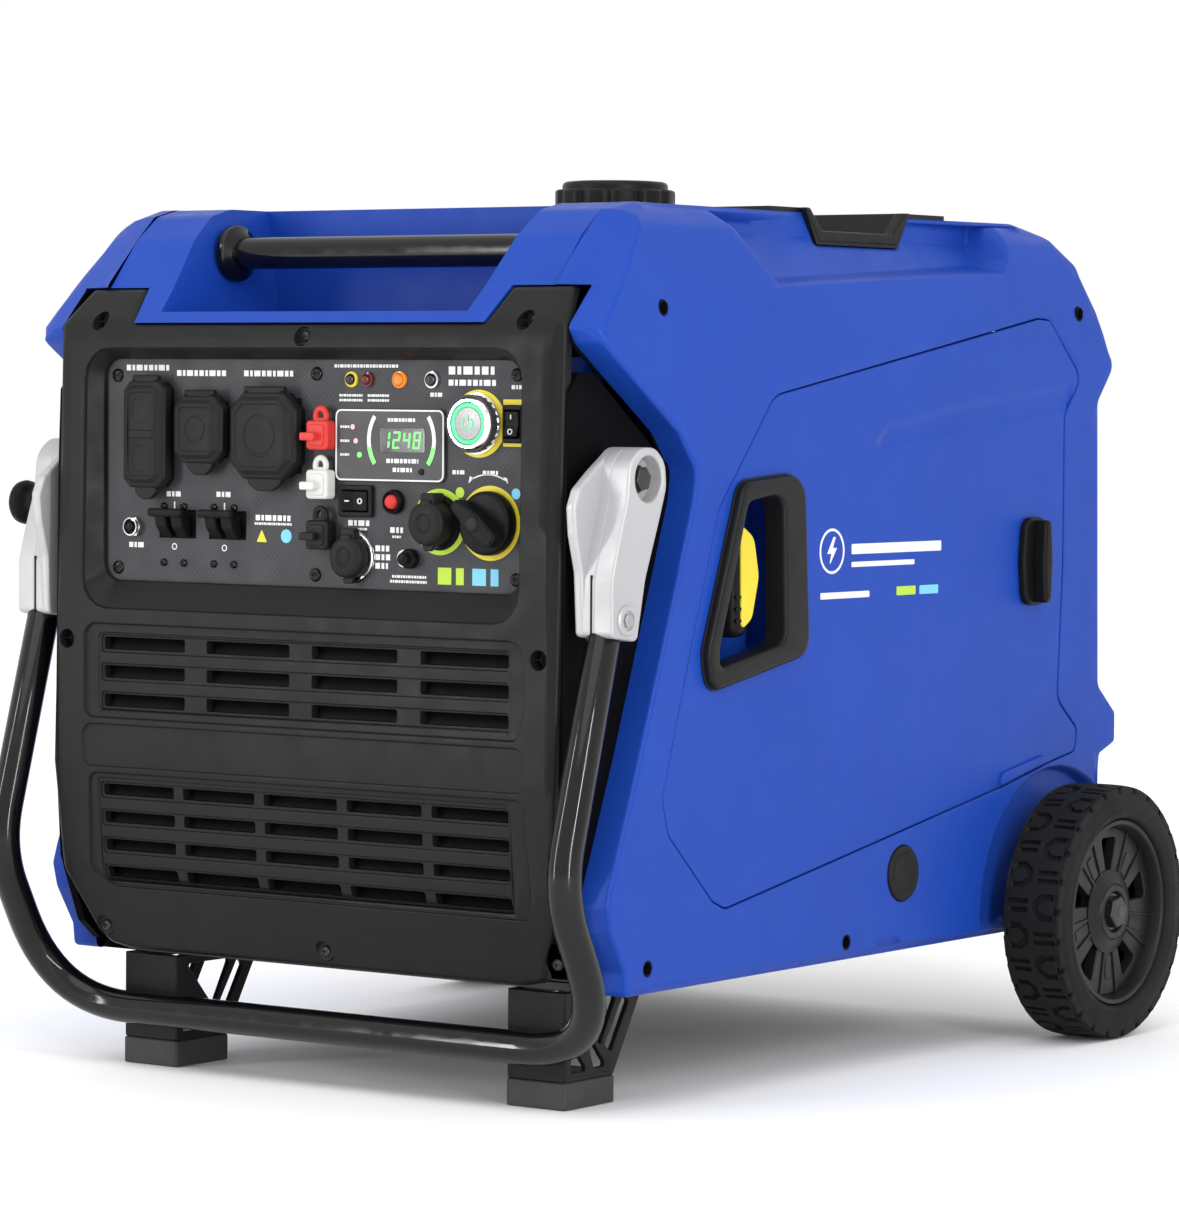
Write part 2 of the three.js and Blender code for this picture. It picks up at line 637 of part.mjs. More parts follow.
// ---------------------------------------------------------------- tow handle
// A path of straight runs with rounded corners; each corner has its own tangent length.
function roundedPath(corners) {
  const path = new THREE.CurvePath();
  let from = new THREE.Vector3(...corners[0].at);
  for (let i = 1; i < corners.length; i += 1) {
    const here = new THREE.Vector3(...corners[i].at);
    if (i === corners.length - 1) {
      path.add(new THREE.LineCurve3(from, here));
      break;
    }
    const before = new THREE.Vector3(...corners[i - 1].at).sub(here).normalize();
    const after = new THREE.Vector3(...corners[i + 1].at).sub(here).normalize();
    const start = here.clone().addScaledVector(before, corners[i].tangent);
    const end = here.clone().addScaledVector(after, corners[i].tangent);
    path.add(new THREE.LineCurve3(from, start));
    path.add(new THREE.QuadraticBezierCurve3(start, here, end));
    from = end;
  }
  return path;
}

function handlePath() {
  const right = [
    { at: [LEG_X, ...LEG_TOP] },
    { at: [LEG_X, ...LEG_KNEE], tangent: 35 },
    { at: [LEG_X, ...LEG_FOOT], tangent: 80 },
  ];
  const left = right.map(({ at: [x, y, z], tangent }) => ({ at: [-x, y, z], tangent })).reverse();
  return roundedPath([...right, ...left]);
}

// The straight bore for the end of a leg inside its bracket.
function legBore() {
  const start = new THREE.Vector3(LEG_X, ...LEG_KNEE);
  const end = new THREE.Vector3(LEG_X, ...LEG_TOP);
  const run = end.clone().sub(start);
  const turn = new THREE.Quaternion().setFromUnitVectors(
    new THREE.Vector3(0, 1, 0), run.clone().normalize(),
  );
  const centre = start.clone().add(end).multiplyScalar(0.5).addScaledVector(run.normalize(), 0.4);
  return new THREE.CylinderGeometry(TUBE_R + 0.4, TUBE_R + 0.4, start.distanceTo(end) + 0.8, 24)
    .applyQuaternion(turn).translate(centre.x, centre.y, centre.z);
}

const BRACKET_OUTLINE = [
  [-45, 354], [-14, 350], [-4, 395], [14, 440], [23, 462], [20, 480], [8, 490], [-8, 491], [-30, 480],
  [-50, 466], [-57, 448], [-56, 425], [-47, 400],
];
const LOCK = { y: -16, z: 440 };

function bracketSolid() {
  const body = alongX(BRACKET_OUTLINE, 254, 287);
  const boltHole = rodX(PIVOT.y, PIVOT.z, 6.6, 240, 300, 16);
  const headPocket = rodX(PIVOT.y, PIVOT.z, 14, 275, 300, 20);
  return cut(body, legBore(), boltHole, headPocket);
}

function buildTowHandle() {
  const section = new THREE.Shape().absarc(0, 0, TUBE_R, 0, Math.PI * 2);
  const tube = new THREE.ExtrudeGeometry(section, {
    steps: 64, curveSegments: 6, bevelEnabled: false, extrudePath: handlePath(),
  });
  place("handle_tube", tube, GLOSS_BLACK);
  const right = bracketSolid();
  place("handle_bracket_right", right, CAST);
  const lockHole = rodX(LOCK.y, LOCK.z, 4.6, -300, -240, 12);
  place("handle_bracket_left", cut(mirrored(right), lockHole), CAST);
  const bolt = join(
    rodX(PIVOT.y, PIVOT.z, 6, 232, 277, 16), rodX(PIVOT.y, PIVOT.z, 10.5, 276, 283, 6),
  );
  placePair("pivot_bolt", bolt, STEEL);
  const knob = join(
    rodX(LOCK.y, LOCK.z, 4, -298, -247, 12),
    rodX(LOCK.y, LOCK.z, 10, -297, -288, 20),
    rodX(LOCK.y, LOCK.z, 17.5, -312, -296.5, 24),
  );
  place("lock_knob", knob, DARK);
}

// ---------------------------------------------------------------- wheels and feet
function buildWheels() {
  const inner = WHEEL_OUT - TYRE_WIDTH;
  const side = WHEEL_OUT - 4;
  const tyre = turnedX([
    [RIM_R + 0.4, inner + 5], [88, inner], [98, inner + 3], [WHEEL_R, inner + 10],
    [WHEEL_R, WHEEL_OUT - 10], [98, WHEEL_OUT - 3], [88, WHEEL_OUT], [RIM_R + 0.4, WHEEL_OUT - 5],
  ], WHEEL_Y, WHEEL_R, 40);
  placePair("tyre", tyre, RUBBER);
  const drum = cut(
    rodX(WHEEL_Y, WHEEL_R, RIM_R, inner + 6, side, 40),
    rodX(WHEEL_Y, WHEEL_R, 66, side - 14, 400, 40),
    rodX(WHEEL_Y, WHEEL_R, 66, 200, side - 26, 40),
  );
  const boss = rodX(WHEEL_Y, WHEEL_R, 22, inner + 4, side - 6, 24);
  const windows = [];
  for (let i = 0; i < SPOKES; i += 1) {
    const window = alongX([[-17, 32], [17, 32], [26, 58], [-26, 58]], side - 40, 400);
    windows.push(window.rotateX((i / SPOKES) * 2 * Math.PI).translate(0, WHEEL_Y, WHEEL_R));
  }
  const bore = rodX(WHEEL_Y, WHEEL_R, AXLE_R + GAP, 200, 400);
  placePair("wheel_hub", cut(join(drum, boss), ...windows, bore), DARK);
  const axle = join(
    rodX(WHEEL_Y, WHEEL_R, AXLE_R, -328, 328),
    rodX(WHEEL_Y, WHEEL_R, 14, 326.5, 333, 6), rodX(WHEEL_Y, WHEEL_R, 14, -333, -326.5, 6),
  );
  place("axle", axle, STEEL);
}

function buildFeet() {
  const inner = FOOT_OUT - FOOT_WIDTH;
  placePair("foot_pad", box(inner, FOOT_OUT, 0, FOOT_DEPTH, 0, PAD_HEIGHT - GAP), RUBBER);
  const sideLine = [[1, PAD_HEIGHT], [63, PAD_HEIGHT], [96, 76], [96, FLOOR_Z - GAP], [1, FLOOR_Z - GAP]];
  const hollow = alongX(inset(sideLine, 4), inner + 5, FOOT_OUT - 5);
  const back = alongX([[40, 27], [58, 27], [110, 76], [110, 82], [40, 82]], inner + 5, FOOT_OUT - 5);
  const trusses = [
    [[10, 28], [32, 28], [10, 50]], [[38, 30], [52, 30], [26, 58]], [[16, 78], [46, 44], [62, 78]],
  ].map((triangle) => alongX(triangle, inner - 10, FOOT_OUT + 10));
  const outer = alongX(sideLine, inner + 1, FOOT_OUT - 1);
  placePair("foot_bracket", cut(outer, hollow, back, ...trusses), BLACK);
}

// ---------------------------------------------------------------- fuel, engine and electrics
function buildFuel() {
  const tank = join(
    alongZ(cutRectangle(0, 325, 380, 380, 30), 560, 645), rodZ(0, CAP.y, 30, 640, 675, 24),
  );
  place("fuel_tank", cut(tank, rodZ(0, CAP.y, 25, 610, 700, 24)), DARK);
  const lobes = new THREE.Shape();
  const count = 10;
  for (let i = 0; i < count * 4; i += 1) {
    const angle = (i / (count * 4)) * 2 * Math.PI;
    const radius = i % 4 === 0 ? CAP.r - 3.5 : CAP.r;
    const [x, y] = [radius * Math.cos(angle), radius * Math.sin(angle)];
    if (i === 0) lobes.moveTo(x, y); else lobes.lineTo(x, y);
  }
  const grip = alongZ(lobes, CAP.base, CAP.top - 6).translate(0, CAP.y, 0);
  const disc = rodZ(0, CAP.y, CAP.r - 8, CAP.top - 8, CAP.top, 28);
  const plug = rodZ(0, CAP.y, 23, 655, CAP.base + 2, 20);
  place("fuel_cap", join(grip, disc, plug), BLACK);
}

function buildEngine() {
  const crankcaseLine = [[172, 150], [400, 150], [400, 330], [340, 390], [230, 390], [172, 330]];
  const crankcase = alongX(crankcaseLine, -20, 160);
  const cylinder = box(-170, -10, 230, 350, 230, 350);
  const fins = [];
  for (let i = 0; i < 5; i += 1) {
    fins.push(box(-160 + i * 28, -150 + i * 28, 218, 362, 218, 362));
  }
  const airCleaner = box(20, 150, 250, 380, 380, 470);
  place("engine", join(crankcase, cylinder, ...fins, airCleaner), ENGINE);
  place("alternator", rodY(70, 260, 118, 404, 560, 32), ENGINE);
  const canister = alongY(cutRectangle(-60, 440, 330, 150, 30), 572, 650);
  const tail = rodY(-110, 450, 30, 640, 696, 24);
  const pipeBore = rodY(-110, 450, 24, 655, 720, 20);
  place("muffler", cut(join(canister, tail), pipeBore), STEEL);
}

function buildElectrics() {
  const core = box(-190, 190, 10, 74, 120, 350);
  const fins = [];
  for (let i = 0; i < 8; i += 1) {
    fins.push(box(-180 + i * 50, -172 + i * 50, -14, 12, 130, 340));
  }
  place("inverter", join(core, ...fins), ENGINE);
  const battery = join(
    box(-225, -110, 120, 210, 110, 230), rodZ(-200, 140, 8, 228, 242, 12), rodZ(-135, 140, 8, 228, 242, 12),
  );
  place("battery", battery, DARK);
}

buildSideShells();
buildDoor();
buildLatch();
buildPlug();
buildRecoil();
buildFrontCover();
buildGrabBar();
buildTopTray();
buildRearCover();
buildRearPanel();
buildBase();
buildFascia();
buildFrontFrame();
buildControlPlate();
buildOutlets();
buildCaps();
buildSwitches();
buildDialAndDisplay();
buildTowHandle();
buildWheels();
buildFeet();
buildFuel();
buildEngine();
buildElectrics();

export default generator;
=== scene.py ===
"""Looks of the portable inverter generator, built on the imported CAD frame. Lengths are in millimetres, with y
measured back from the front feet, and are turned into metres of the frame where a mesh is made."""

import json
import math

import bmesh
import bpy
import numpy as np
from mathutils import Matrix, Vector
from mathutils.geometry import delaunay_2d_cdt


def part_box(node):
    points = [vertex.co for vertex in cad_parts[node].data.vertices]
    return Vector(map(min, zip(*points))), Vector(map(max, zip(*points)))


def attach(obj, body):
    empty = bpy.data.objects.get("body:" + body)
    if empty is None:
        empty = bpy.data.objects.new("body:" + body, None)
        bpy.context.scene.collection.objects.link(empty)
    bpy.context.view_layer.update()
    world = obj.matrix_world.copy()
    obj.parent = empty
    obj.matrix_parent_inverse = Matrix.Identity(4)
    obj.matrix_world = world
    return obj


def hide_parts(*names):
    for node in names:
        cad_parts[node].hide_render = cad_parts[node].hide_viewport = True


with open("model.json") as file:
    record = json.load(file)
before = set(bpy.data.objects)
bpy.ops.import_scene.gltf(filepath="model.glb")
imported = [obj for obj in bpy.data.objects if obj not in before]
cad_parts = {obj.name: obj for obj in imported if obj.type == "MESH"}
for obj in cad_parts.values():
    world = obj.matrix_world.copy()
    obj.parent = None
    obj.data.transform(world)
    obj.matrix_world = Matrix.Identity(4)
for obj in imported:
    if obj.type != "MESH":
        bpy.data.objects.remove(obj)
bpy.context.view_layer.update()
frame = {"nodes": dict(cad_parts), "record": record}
NODES = frame["nodes"]
MM = 0.001
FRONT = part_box("foot_pad_right")[0].y  # the front feet's face, where y is 0 in the lengths below


def metres(point):
    """A (x, y, z) point in millimetres, as a vector in the frame."""
    return Vector((point[0] * MM, FRONT + point[1] * MM, point[2] * MM))


# ---------------------------------------------------------------- materials
def new_material(name):
    made = bpy.data.materials.new(name)
    made.use_nodes = True
    tree = made.node_tree
    return made, tree, tree.nodes["Principled BSDF"]


def add_node(tree, kind, **values):
    node = tree.nodes.new(kind)
    for key, value in values.items():
        setattr(node, key, value)
    return node


def noise(tree, scale, detail=3.0, rough=0.5):
    coords = tree.nodes.get("Texture Coordinate") or add_node(tree, "ShaderNodeTexCoord")
    made = add_node(tree, "ShaderNodeTexNoise")
    made.inputs["Scale"].default_value = scale
    made.inputs["Detail"].default_value = detail
    made.inputs["Roughness"].default_value = rough
    tree.links.new(coords.outputs["Object"], made.inputs["Vector"])
    return made


def mapped(tree, source, low, high):
    made = add_node(tree, "ShaderNodeMapRange")
    made.inputs["From Min"].default_value = 0.3
    made.inputs["From Max"].default_value = 0.7
    made.inputs["To Min"].default_value = low
    made.inputs["To Max"].default_value = high
    tree.links.new(source, made.inputs["Value"])
    return made.outputs["Result"]


def surface(name, color, roughness, metallic=0.0, tone=0.08, blotch=9.0, grain=900.0, bump=0.25, coat=0.0,
            spread=0.08, depth=0.00008, specular=0.35):
    """A moulded, painted or cast surface: a tone that drifts a little, fine grain, and uneven gloss."""
    made, tree, shader = new_material(name)
    drift = noise(tree, blotch, 4.0, 0.6)
    mix = add_node(tree, "ShaderNodeMix", data_type="RGBA")
    mix.inputs["A"].default_value = (*[c * (1 - tone) for c in color], 1)
    mix.inputs["B"].default_value = (*[min(1, c * (1 + tone)) for c in color], 1)
    tree.links.new(mapped(tree, drift.outputs["Fac"], 0, 1), mix.inputs["Factor"])
    tree.links.new(mix.outputs["Result"], shader.inputs["Base Color"])
    gloss = noise(tree, blotch * 5, 3.0, 0.55)
    tree.links.new(
        mapped(tree, gloss.outputs["Fac"], max(0.02, roughness - spread), min(1, roughness + spread)),
        shader.inputs["Roughness"],
    )
    fine = noise(tree, grain, 2.0, 0.5)
    relief = add_node(tree, "ShaderNodeBump")
    relief.inputs["Strength"].default_value = bump
    relief.inputs["Distance"].default_value = depth
    tree.links.new(fine.outputs["Fac"], relief.inputs["Height"])
    tree.links.new(relief.outputs["Normal"], shader.inputs["Normal"])
    shader.inputs["Metallic"].default_value = metallic
    shader.inputs["Coat Weight"].default_value = coat
    shader.inputs["Coat Roughness"].default_value = 0.12
    shader.inputs["Specular IOR Level"].default_value = specular
    return made


BLUE = surface("blue_moulded", (0.008, 0.048, 0.33), 0.42, tone=0.05, bump=0.18, grain=1400, spread=0.05,
               specular=0.16)
BLACK = surface("black_moulded", (0.009, 0.009, 0.0095), 0.40, tone=0.12, bump=0.3, grain=1500,
                specular=0.15)
DARK = surface("dark_moulded", (0.006, 0.006, 0.0065), 0.38, tone=0.12, bump=0.3, grain=1300, specular=0.1)
GLOSS = surface("black_gloss_paint", (0.003, 0.003, 0.0035), 0.12, tone=0.2, bump=0.08, grain=300,
                specular=0.35)
RUBBER = surface("lid_rubber", (0.010, 0.010, 0.0105), 0.5, tone=0.12, bump=0.4, grain=1200, specular=0.16)
TYRE = surface("tyre_rubber", (0.011, 0.011, 0.011), 0.7, tone=0.2, bump=0.6, grain=700, specular=0.14)
CAST = surface("cast_aluminium", (0.42, 0.42, 0.43), 0.42, metallic=0.3, tone=0.05, bump=0.5, grain=500,
               depth=0.00015, specular=0.3)
STEEL = surface("zinc_steel", (0.45, 0.45, 0.46), 0.33, metallic=0.9, tone=0.1, bump=0.2, grain=600)
RED = surface("red_moulded", (0.55, 0.035, 0.028), 0.38, tone=0.08, bump=0.2, specular=0.25)
WHITE = surface("white_moulded", (0.58, 0.58, 0.56), 0.42, tone=0.04, bump=0.2, specular=0.2)
GREEN = surface("green_lens", (0.006, 0.16, 0.07), 0.25, tone=0.1, coat=0.4)
GLASS = surface("display_window", (0.012, 0.012, 0.014), 0.15, tone=0.1, coat=0.5)
ENGINE = surface("engine_casting", (0.3, 0.3, 0.31), 0.5, metallic=0.6, tone=0.1, bump=0.6, grain=400)


def panel_print():
    """The printed control plate: dark grey with a fine diamond lattice."""
    made = surface("panel_print", (0.030, 0.031, 0.035), 0.5, tone=0.05, bump=0.15)
    tree = made.node_tree
    shader = tree.nodes["Principled BSDF"]
    base = shader.inputs["Base Color"].links[0].from_socket
    coords = tree.nodes["Texture Coordinate"]
    lattice = None
    for slant in (45, -45):
        turn = add_node(tree, "ShaderNodeMapping")
        turn.inputs["Rotation"].default_value = (0, math.radians(slant), 0)
        wave = add_node(tree, "ShaderNodeTexWave", bands_direction="X")
        wave.inputs["Scale"].default_value = 95
        tree.links.new(coords.outputs["Object"], turn.inputs["Vector"])
        tree.links.new(turn.outputs["Vector"], wave.inputs["Vector"])
        if lattice is None:
            lattice = wave.outputs["Fac"]
            continue
        product = add_node(tree, "ShaderNodeMath", operation="MULTIPLY")
        tree.links.new(lattice, product.inputs[0])
        tree.links.new(wave.outputs["Fac"], product.inputs[1])
        lattice = product.outputs["Value"]
    mix = add_node(tree, "ShaderNodeMix", data_type="RGBA")
    mix.inputs["B"].default_value = (0.018, 0.019, 0.024, 1)
    tree.links.new(lattice, mix.inputs["Factor"])
    tree.links.new(base, mix.inputs["A"])
    tree.links.new(mix.outputs["Result"], shader.inputs["Base Color"])
    return made


def lit(material, color, strength):
    shader = material.node_tree.nodes["Principled BSDF"]
    shader.inputs["Emission Color"].default_value = (*color, 1)
    shader.inputs["Emission Strength"].default_value = strength
    return material


PANEL = panel_print()
FRAME_BLACK = surface("painted_frame", (0.003, 0.003, 0.0035), 0.6, tone=0.15, bump=0.1, grain=500,
                      specular=0.03)
FOOT = surface("foot_rubber", (0.03, 0.03, 0.031), 0.55, tone=0.12, bump=0.5, grain=900)
WHEEL = surface("wheel_moulding", (0.010, 0.010, 0.0105), 0.38, tone=0.12, bump=0.3, grain=1100,
                specular=0.22)
DARK_STEEL = surface("black_oxide_steel", (0.05, 0.05, 0.052), 0.32, metallic=0.8, tone=0.15, bump=0.2,
                     grain=700)
CHROME = surface("bright_plating", (0.72, 0.72, 0.73), 0.14, metallic=1.0, tone=0.04, bump=0.05,
                 spread=0.03)
PRINT = surface("white_ink", (0.68, 0.68, 0.68), 0.5, tone=0.04, bump=0.1)
YELLOW = surface("yellow_ink", (0.66, 0.54, 0.03), 0.45, tone=0.05, bump=0.1)
LIME = surface("lime_ink", (0.40, 0.58, 0.04), 0.45, tone=0.05, bump=0.1)
SKY = surface("sky_ink", (0.16, 0.5, 0.72), 0.45, tone=0.05, bump=0.1)
AMBER = surface("amber_lens", (0.72, 0.2, 0.015), 0.18, tone=0.1, bump=0.05, coat=0.5)
RED_DARK = surface("dark_red_lens", (0.09, 0.006, 0.006), 0.2, tone=0.1, bump=0.05, coat=0.5)
DARK_LENS = surface("dark_lens", (0.012, 0.012, 0.012), 0.15, tone=0.1, bump=0.05, coat=0.5)
DISPLAY_FACE = surface("display_bezel", (0.05, 0.05, 0.052), 0.45, tone=0.06, bump=0.15)
GREEN_LIGHT = lit(surface("green_ring", (0.08, 0.55, 0.25), 0.3, tone=0.05), (0.06, 0.6, 0.22), 0.6)
LED_GREEN = lit(surface("lit_segments", (0.12, 0.7, 0.12), 0.3, tone=0.05), (0.12, 0.9, 0.1), 1.2)
RED_LAMP = surface("pale_red_lamp", (0.75, 0.42, 0.4), 0.25, tone=0.05, coat=0.4)

LOOKS = {
    "blue_plastic": BLUE, "black_plastic": BLACK, "dark_plastic": DARK, "black_paint": GLOSS,
    "rubber": RUBBER,
    "tyre": TYRE, "cast_aluminium": CAST, "steel": STEEL, "panel_print": PANEL, "red_plastic": RED,
    "white_plastic": WHITE, "green_button": GREEN, "display_glass": GLASS, "engine_metal": ENGINE,
}


def dress_nodes():
    """Every CAD node gets the look of its material slot."""
    slots = {part["node"]: part["material_slot"] for part in frame["record"]["subparts"]}
    for name, node in NODES.items():
        node.data.materials.clear()
        node.data.materials.append(FRAME_BLACK if name == "front_frame" else LOOKS[slots[name]])


def soften(name, width, segments=3, angle=24):
    """A CAD node keeps its shape, with its facets merged and its edges rounded."""
    node = NODES[name]
    for polygon in node.data.polygons:
        polygon.use_smooth = True
    flat = node.modifiers.new("merge_flats", "DECIMATE")
    flat.decimate_type = "DISSOLVE"
    flat.angle_limit = math.radians(1.0)
    edge = node.modifiers.new("edges", "BEVEL")
    edge.width = width * MM
    edge.segments = segments
    edge.limit_method = "ANGLE"
    edge.angle_limit = math.radians(angle)
    edge.harden_normals = False
    shade = node.modifiers.new("shade", "WEIGHTED_NORMAL")
    shade.keep_sharp = True


SOFTENED = {"top_tray": 1.2, "rear_panel": 1.0, "recoil_pocket": 1.0, "base_tray": 1.0}
ROUNDED = {"front_cover": 4.0, "rear_cover": 4.0}
BODY_MIDDLE = 0.38  # metres: a face turned away from this height inside the housing is an outer one
SMALL_FACE = 2.5e-4  # square metres: larger faces are flat panels and stay flat-shaded


def slimness(face):
    """About the width of a long face, in millimetres."""
    return 2 * face.calc_area() / max(face.calc_perimeter(), 1e-9) / MM


def round_over(name, width, thin=4.6):
    """A copy of a CAD cover with its outer creases moulded to a radius; walls keep small edges."""
    node = NODES[name]
    mesh = node.data.copy()
    work = bmesh.new()
    work.from_mesh(mesh)
    bmesh.ops.remove_doubles(work, verts=work.verts, dist=1e-5)
    bmesh.ops.dissolve_limit(
        work, angle_limit=math.radians(1), use_dissolve_boundaries=False, verts=work.verts,
        edges=work.edges,
    )
    middle = Vector((0, 0, BODY_MIDDLE))
    chosen = []
    for edge in work.edges:
        if len(edge.link_faces) != 2 or edge.calc_length() < 6 * MM:
            continue
        if edge.calc_face_angle_signed(0) < math.radians(7):
            continue
        if min(slimness(face) for face in edge.link_faces) < thin:
            continue
        if all(face.normal.dot(face.calc_center_median() - middle) > 0 for face in edge.link_faces):
            chosen.append(edge)
    bmesh.ops.bevel(
        work, geom=chosen, offset=width * MM, offset_type="OFFSET", segments=4, profile=0.5, affect="EDGES",
        clamp_overlap=True,
    )
    work.to_mesh(mesh)
    work.free()
    mesh.polygons.foreach_set("use_smooth", [polygon.area < SMALL_FACE for polygon in mesh.polygons])
    made = bpy.data.objects.new(f"{name}_moulding", mesh)
    bpy.context.scene.collection.objects.link(made)
    edge = made.modifiers.new("edges", "BEVEL")
    edge.width = 0.8 * MM
    edge.segments = 2
    edge.limit_method = "ANGLE"
    edge.angle_limit = math.radians(32)
    shade = made.modifiers.new("shade", "WEIGHTED_NORMAL")
    shade.keep_sharp = True
    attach(made, "housing")
    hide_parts(name)


# ---------------------------------------------------------------- outlines, all lengths in millimetres
def signed_area(points):
    return 0.5 * sum(
        a[0] * b[1] - b[0] * a[1] for a, b in zip(points, list(points[1:]) + [points[0]])
    )


def moved_in(corners, inset):
    """The corners of a loop moved inwards by a distance; each corner is (u, v, radius)."""
    count = len(corners)
    side = math.copysign(1, signed_area(corners)) * inset
    moved = []
    for i, corner in enumerate(corners):
        before, after = corners[i - 1], corners[(i + 1) % count]
        first = Vector((corner[0] - before[0], corner[1] - before[1])).normalized()
        second = Vector((after[0] - corner[0], after[1] - corner[1])).normalized()
        normal_a, normal_b = Vector((-first.y, first.x)), Vector((-second.y, second.x))
        scale = side / max(0.2, 1 + normal_a.dot(normal_b))
        turn = (first.x * second.y - first.y * second.x) * math.copysign(1, side or 1)
        radius = corner[2] - inset if turn * math.copysign(1, inset or 1) > 0 else corner[2] + inset
        place = Vector(corner[:2]) + (normal_a + normal_b) * scale
        moved.append((place.x, place.y, max(radius, 0.05) if corner[2] > 0 else 0))
    return moved


def ring(corners, inset=0.0, steps=4):
    """A loop of (u, v) points: the corners moved inwards and rounded, with the same count at every inset."""
    loop = []
    shifted = moved_in(corners, inset) if inset else corners
    count = len(shifted)
    for i, (u, v, radius) in enumerate(shifted):
        here = Vector((u, v))
        if corners[i][2] <= 0:
            loop.append(here)
            continue
        before = Vector(shifted[i - 1][:2]) - here
        after = Vector(shifted[(i + 1) % count][:2]) - here
        half = before.angle(after) / 2
        reach = min(radius / math.tan(half),
                    0.48 * min(before.length, after.length)) if half < 1.55 else 0.05
        centre = here + (before.normalized() + after.normalized()).normalized() * (reach / math.cos(half))
        start, end = here + before.normalized() * reach - centre, here + after.normalized() * reach - centre
        turn = math.atan2(start.x * end.y - start.y * end.x, start.dot(end))
        for k in range(steps + 1):
            loop.append(centre + Matrix.Rotation(turn * k / steps, 2) @ start)
    return loop


def rectangle(u0, u1, v0, v1, radius=2.0):
    return [(u0, v0, radius), (u1, v0, radius), (u1, v1, radius), (u0, v1, radius)]


def cut_rectangle(u, v, width, height, corner, radius=2.0):
    a, b = width / 2, height / 2
    return [
        (u - a + corner, v - b, radius), (u + a - corner, v - b, radius), (u + a, v - b + corner, radius),
        (u + a, v + b - corner, radius), (u + a - corner, v + b, radius), (u - a + corner, v + b, radius),
        (u - a, v + b - corner, radius), (u - a, v - b + corner, radius),
    ]


def circle(u, v, radius, count=32):
    return [
        (u + radius * math.cos(i * math.tau / count), v + radius * math.sin(i * math.tau / count), 0)
        for i in range(count)
    ]


def hexagon(u, v, radius, rounding, start=0):
    """A six-sided nut or bolt head, turned by an angle in degrees."""
    angles = [math.radians(start + 60 * k) for k in range(6)]
    return [(u + radius * math.cos(a), v + radius * math.sin(a), rounding) for a in angles]


def inside(loop, points):
    """Which of the points lie inside a loop."""
    u, v = points[:, 0], points[:, 1]
    result = np.zeros(len(points), dtype=bool)
    for (au, av), (bu, bv) in zip(loop, np.roll(loop, -1, axis=0)):
        if av != bv:
            crosses = (av > v) != (bv > v)
            result ^= crosses & (u < (bu - au) * (v - av) / (bv - av) + au)
    return result


# ---------------------------------------------------------------- shapes: (points, faces) in millimetres
def on_axis(axis, u, v, height):
    return {"x": (height, u, v), "y": (u, height, v), "z": (u, v, height)}[axis]


def loft(rings, closed=False):
    """Faces between rings of points with equal counts."""
    points = [point for loop in rings for point in loop]
    count = len(rings[0])
    faces = []
    last = len(rings) if closed else len(rings) - 1
    for i in range(last):
        a, b = i * count, ((i + 1) % len(rings)) * count
        faces += [(a + k, a + (k + 1) % count, b + (k + 1) % count, b + k) for k in range(count)]
    return points, faces


def edge_profile(low, high, edge_low, edge_high, steps=3):
    """(inset, height) pairs round the edges of a slab, from its low face to its high face."""
    pairs = []
    for k in range(steps + 1):
        t = math.pi / 2 * k / steps
        pairs.append((edge_low * (1 - math.sin(t)), low + edge_low * (1 - math.cos(t))))
    for k in range(steps + 1):
        t = math.pi / 2 * k / steps
        pairs.append((edge_high * (1 - math.cos(t)), high - edge_high * (1 - math.sin(t))))
    return pairs


def fill(loops):
    """Triangles between an outer loop and its holes, as indices into the loops' points in turn."""
    points = [Vector(point) for loop in loops for point in loop]
    edges, start = [], 0
    for loop in loops:
        edges += [(start + k, start + (k + 1) % len(loop)) for k in range(len(loop))]
        start += len(loop)
    found, _, triangles, origins, _, _ = delaunay_2d_cdt(points, edges, [], 1, 1e-5)
    source = [origin[0] if origin else 0 for origin in origins]
    middles = np.array([[sum(found[i][k] for i in t) / 3 for k in (0, 1)] for t in triangles])
    keep = inside(np.array(loops[0]), middles)
    for hole in loops[1:]:
        keep &= ~inside(np.array(hole), middles)
    return [tuple(source[i] for i in t) for t, kept in zip(triangles, keep) if kept]


def slab(corners, axis, low, high, edge=1.0, edge_low=None, holes=(), steps=4):
    """An outline pushed along an axis, with rounded edges and through holes."""
    pairs = edge_profile(low, high, edge if edge_low is None else edge_low, edge)
    points, faces = [], []
    ends = [[], []]
    for number, outline in enumerate([corners, *holes]):
        sign = -1 if number else 1
        loops = [
            [on_axis(axis, p[0], p[1], height) for p in ring(outline, sign * inset, steps)]
            for inset, height in pairs
        ]
        ring_points, ring_faces = loft(loops)
        start = len(points)
        points += ring_points
        faces += [tuple(start + i for i in face) for face in ring_faces]
        ends[0].append((start, ring(outline, sign * pairs[0][0], steps)))
        ends[1].append((start + len(ring_points) - len(loops[0]),
                        ring(outline, sign * pairs[-1][0], steps)))
    for end in ends:
        index = [start + k for start, loop in end for k in range(len(loop))]
        faces += [tuple(index[i] for i in t) for t in fill([loop for _, loop in end])]
    return points, faces


def turned_loops(profile, axis, centre, sides):
    """One loop of points for each (radius, height) pair of a profile."""
    return [
        [on_axis(axis, u, v, height) for u, v, _ in circle(*centre, radius, sides)]
        for radius, height in profile
    ]


def lathe(profile, axis, centre, sides=48):
    """(radius, height) pairs turned round an axis through a centre given as (u, v)."""
    points, faces = loft(turned_loops(profile, axis, centre, sides))
    faces.append(tuple(range(sides)))
    faces.append(tuple(range(len(points) - sides, len(points))))
    return points, faces


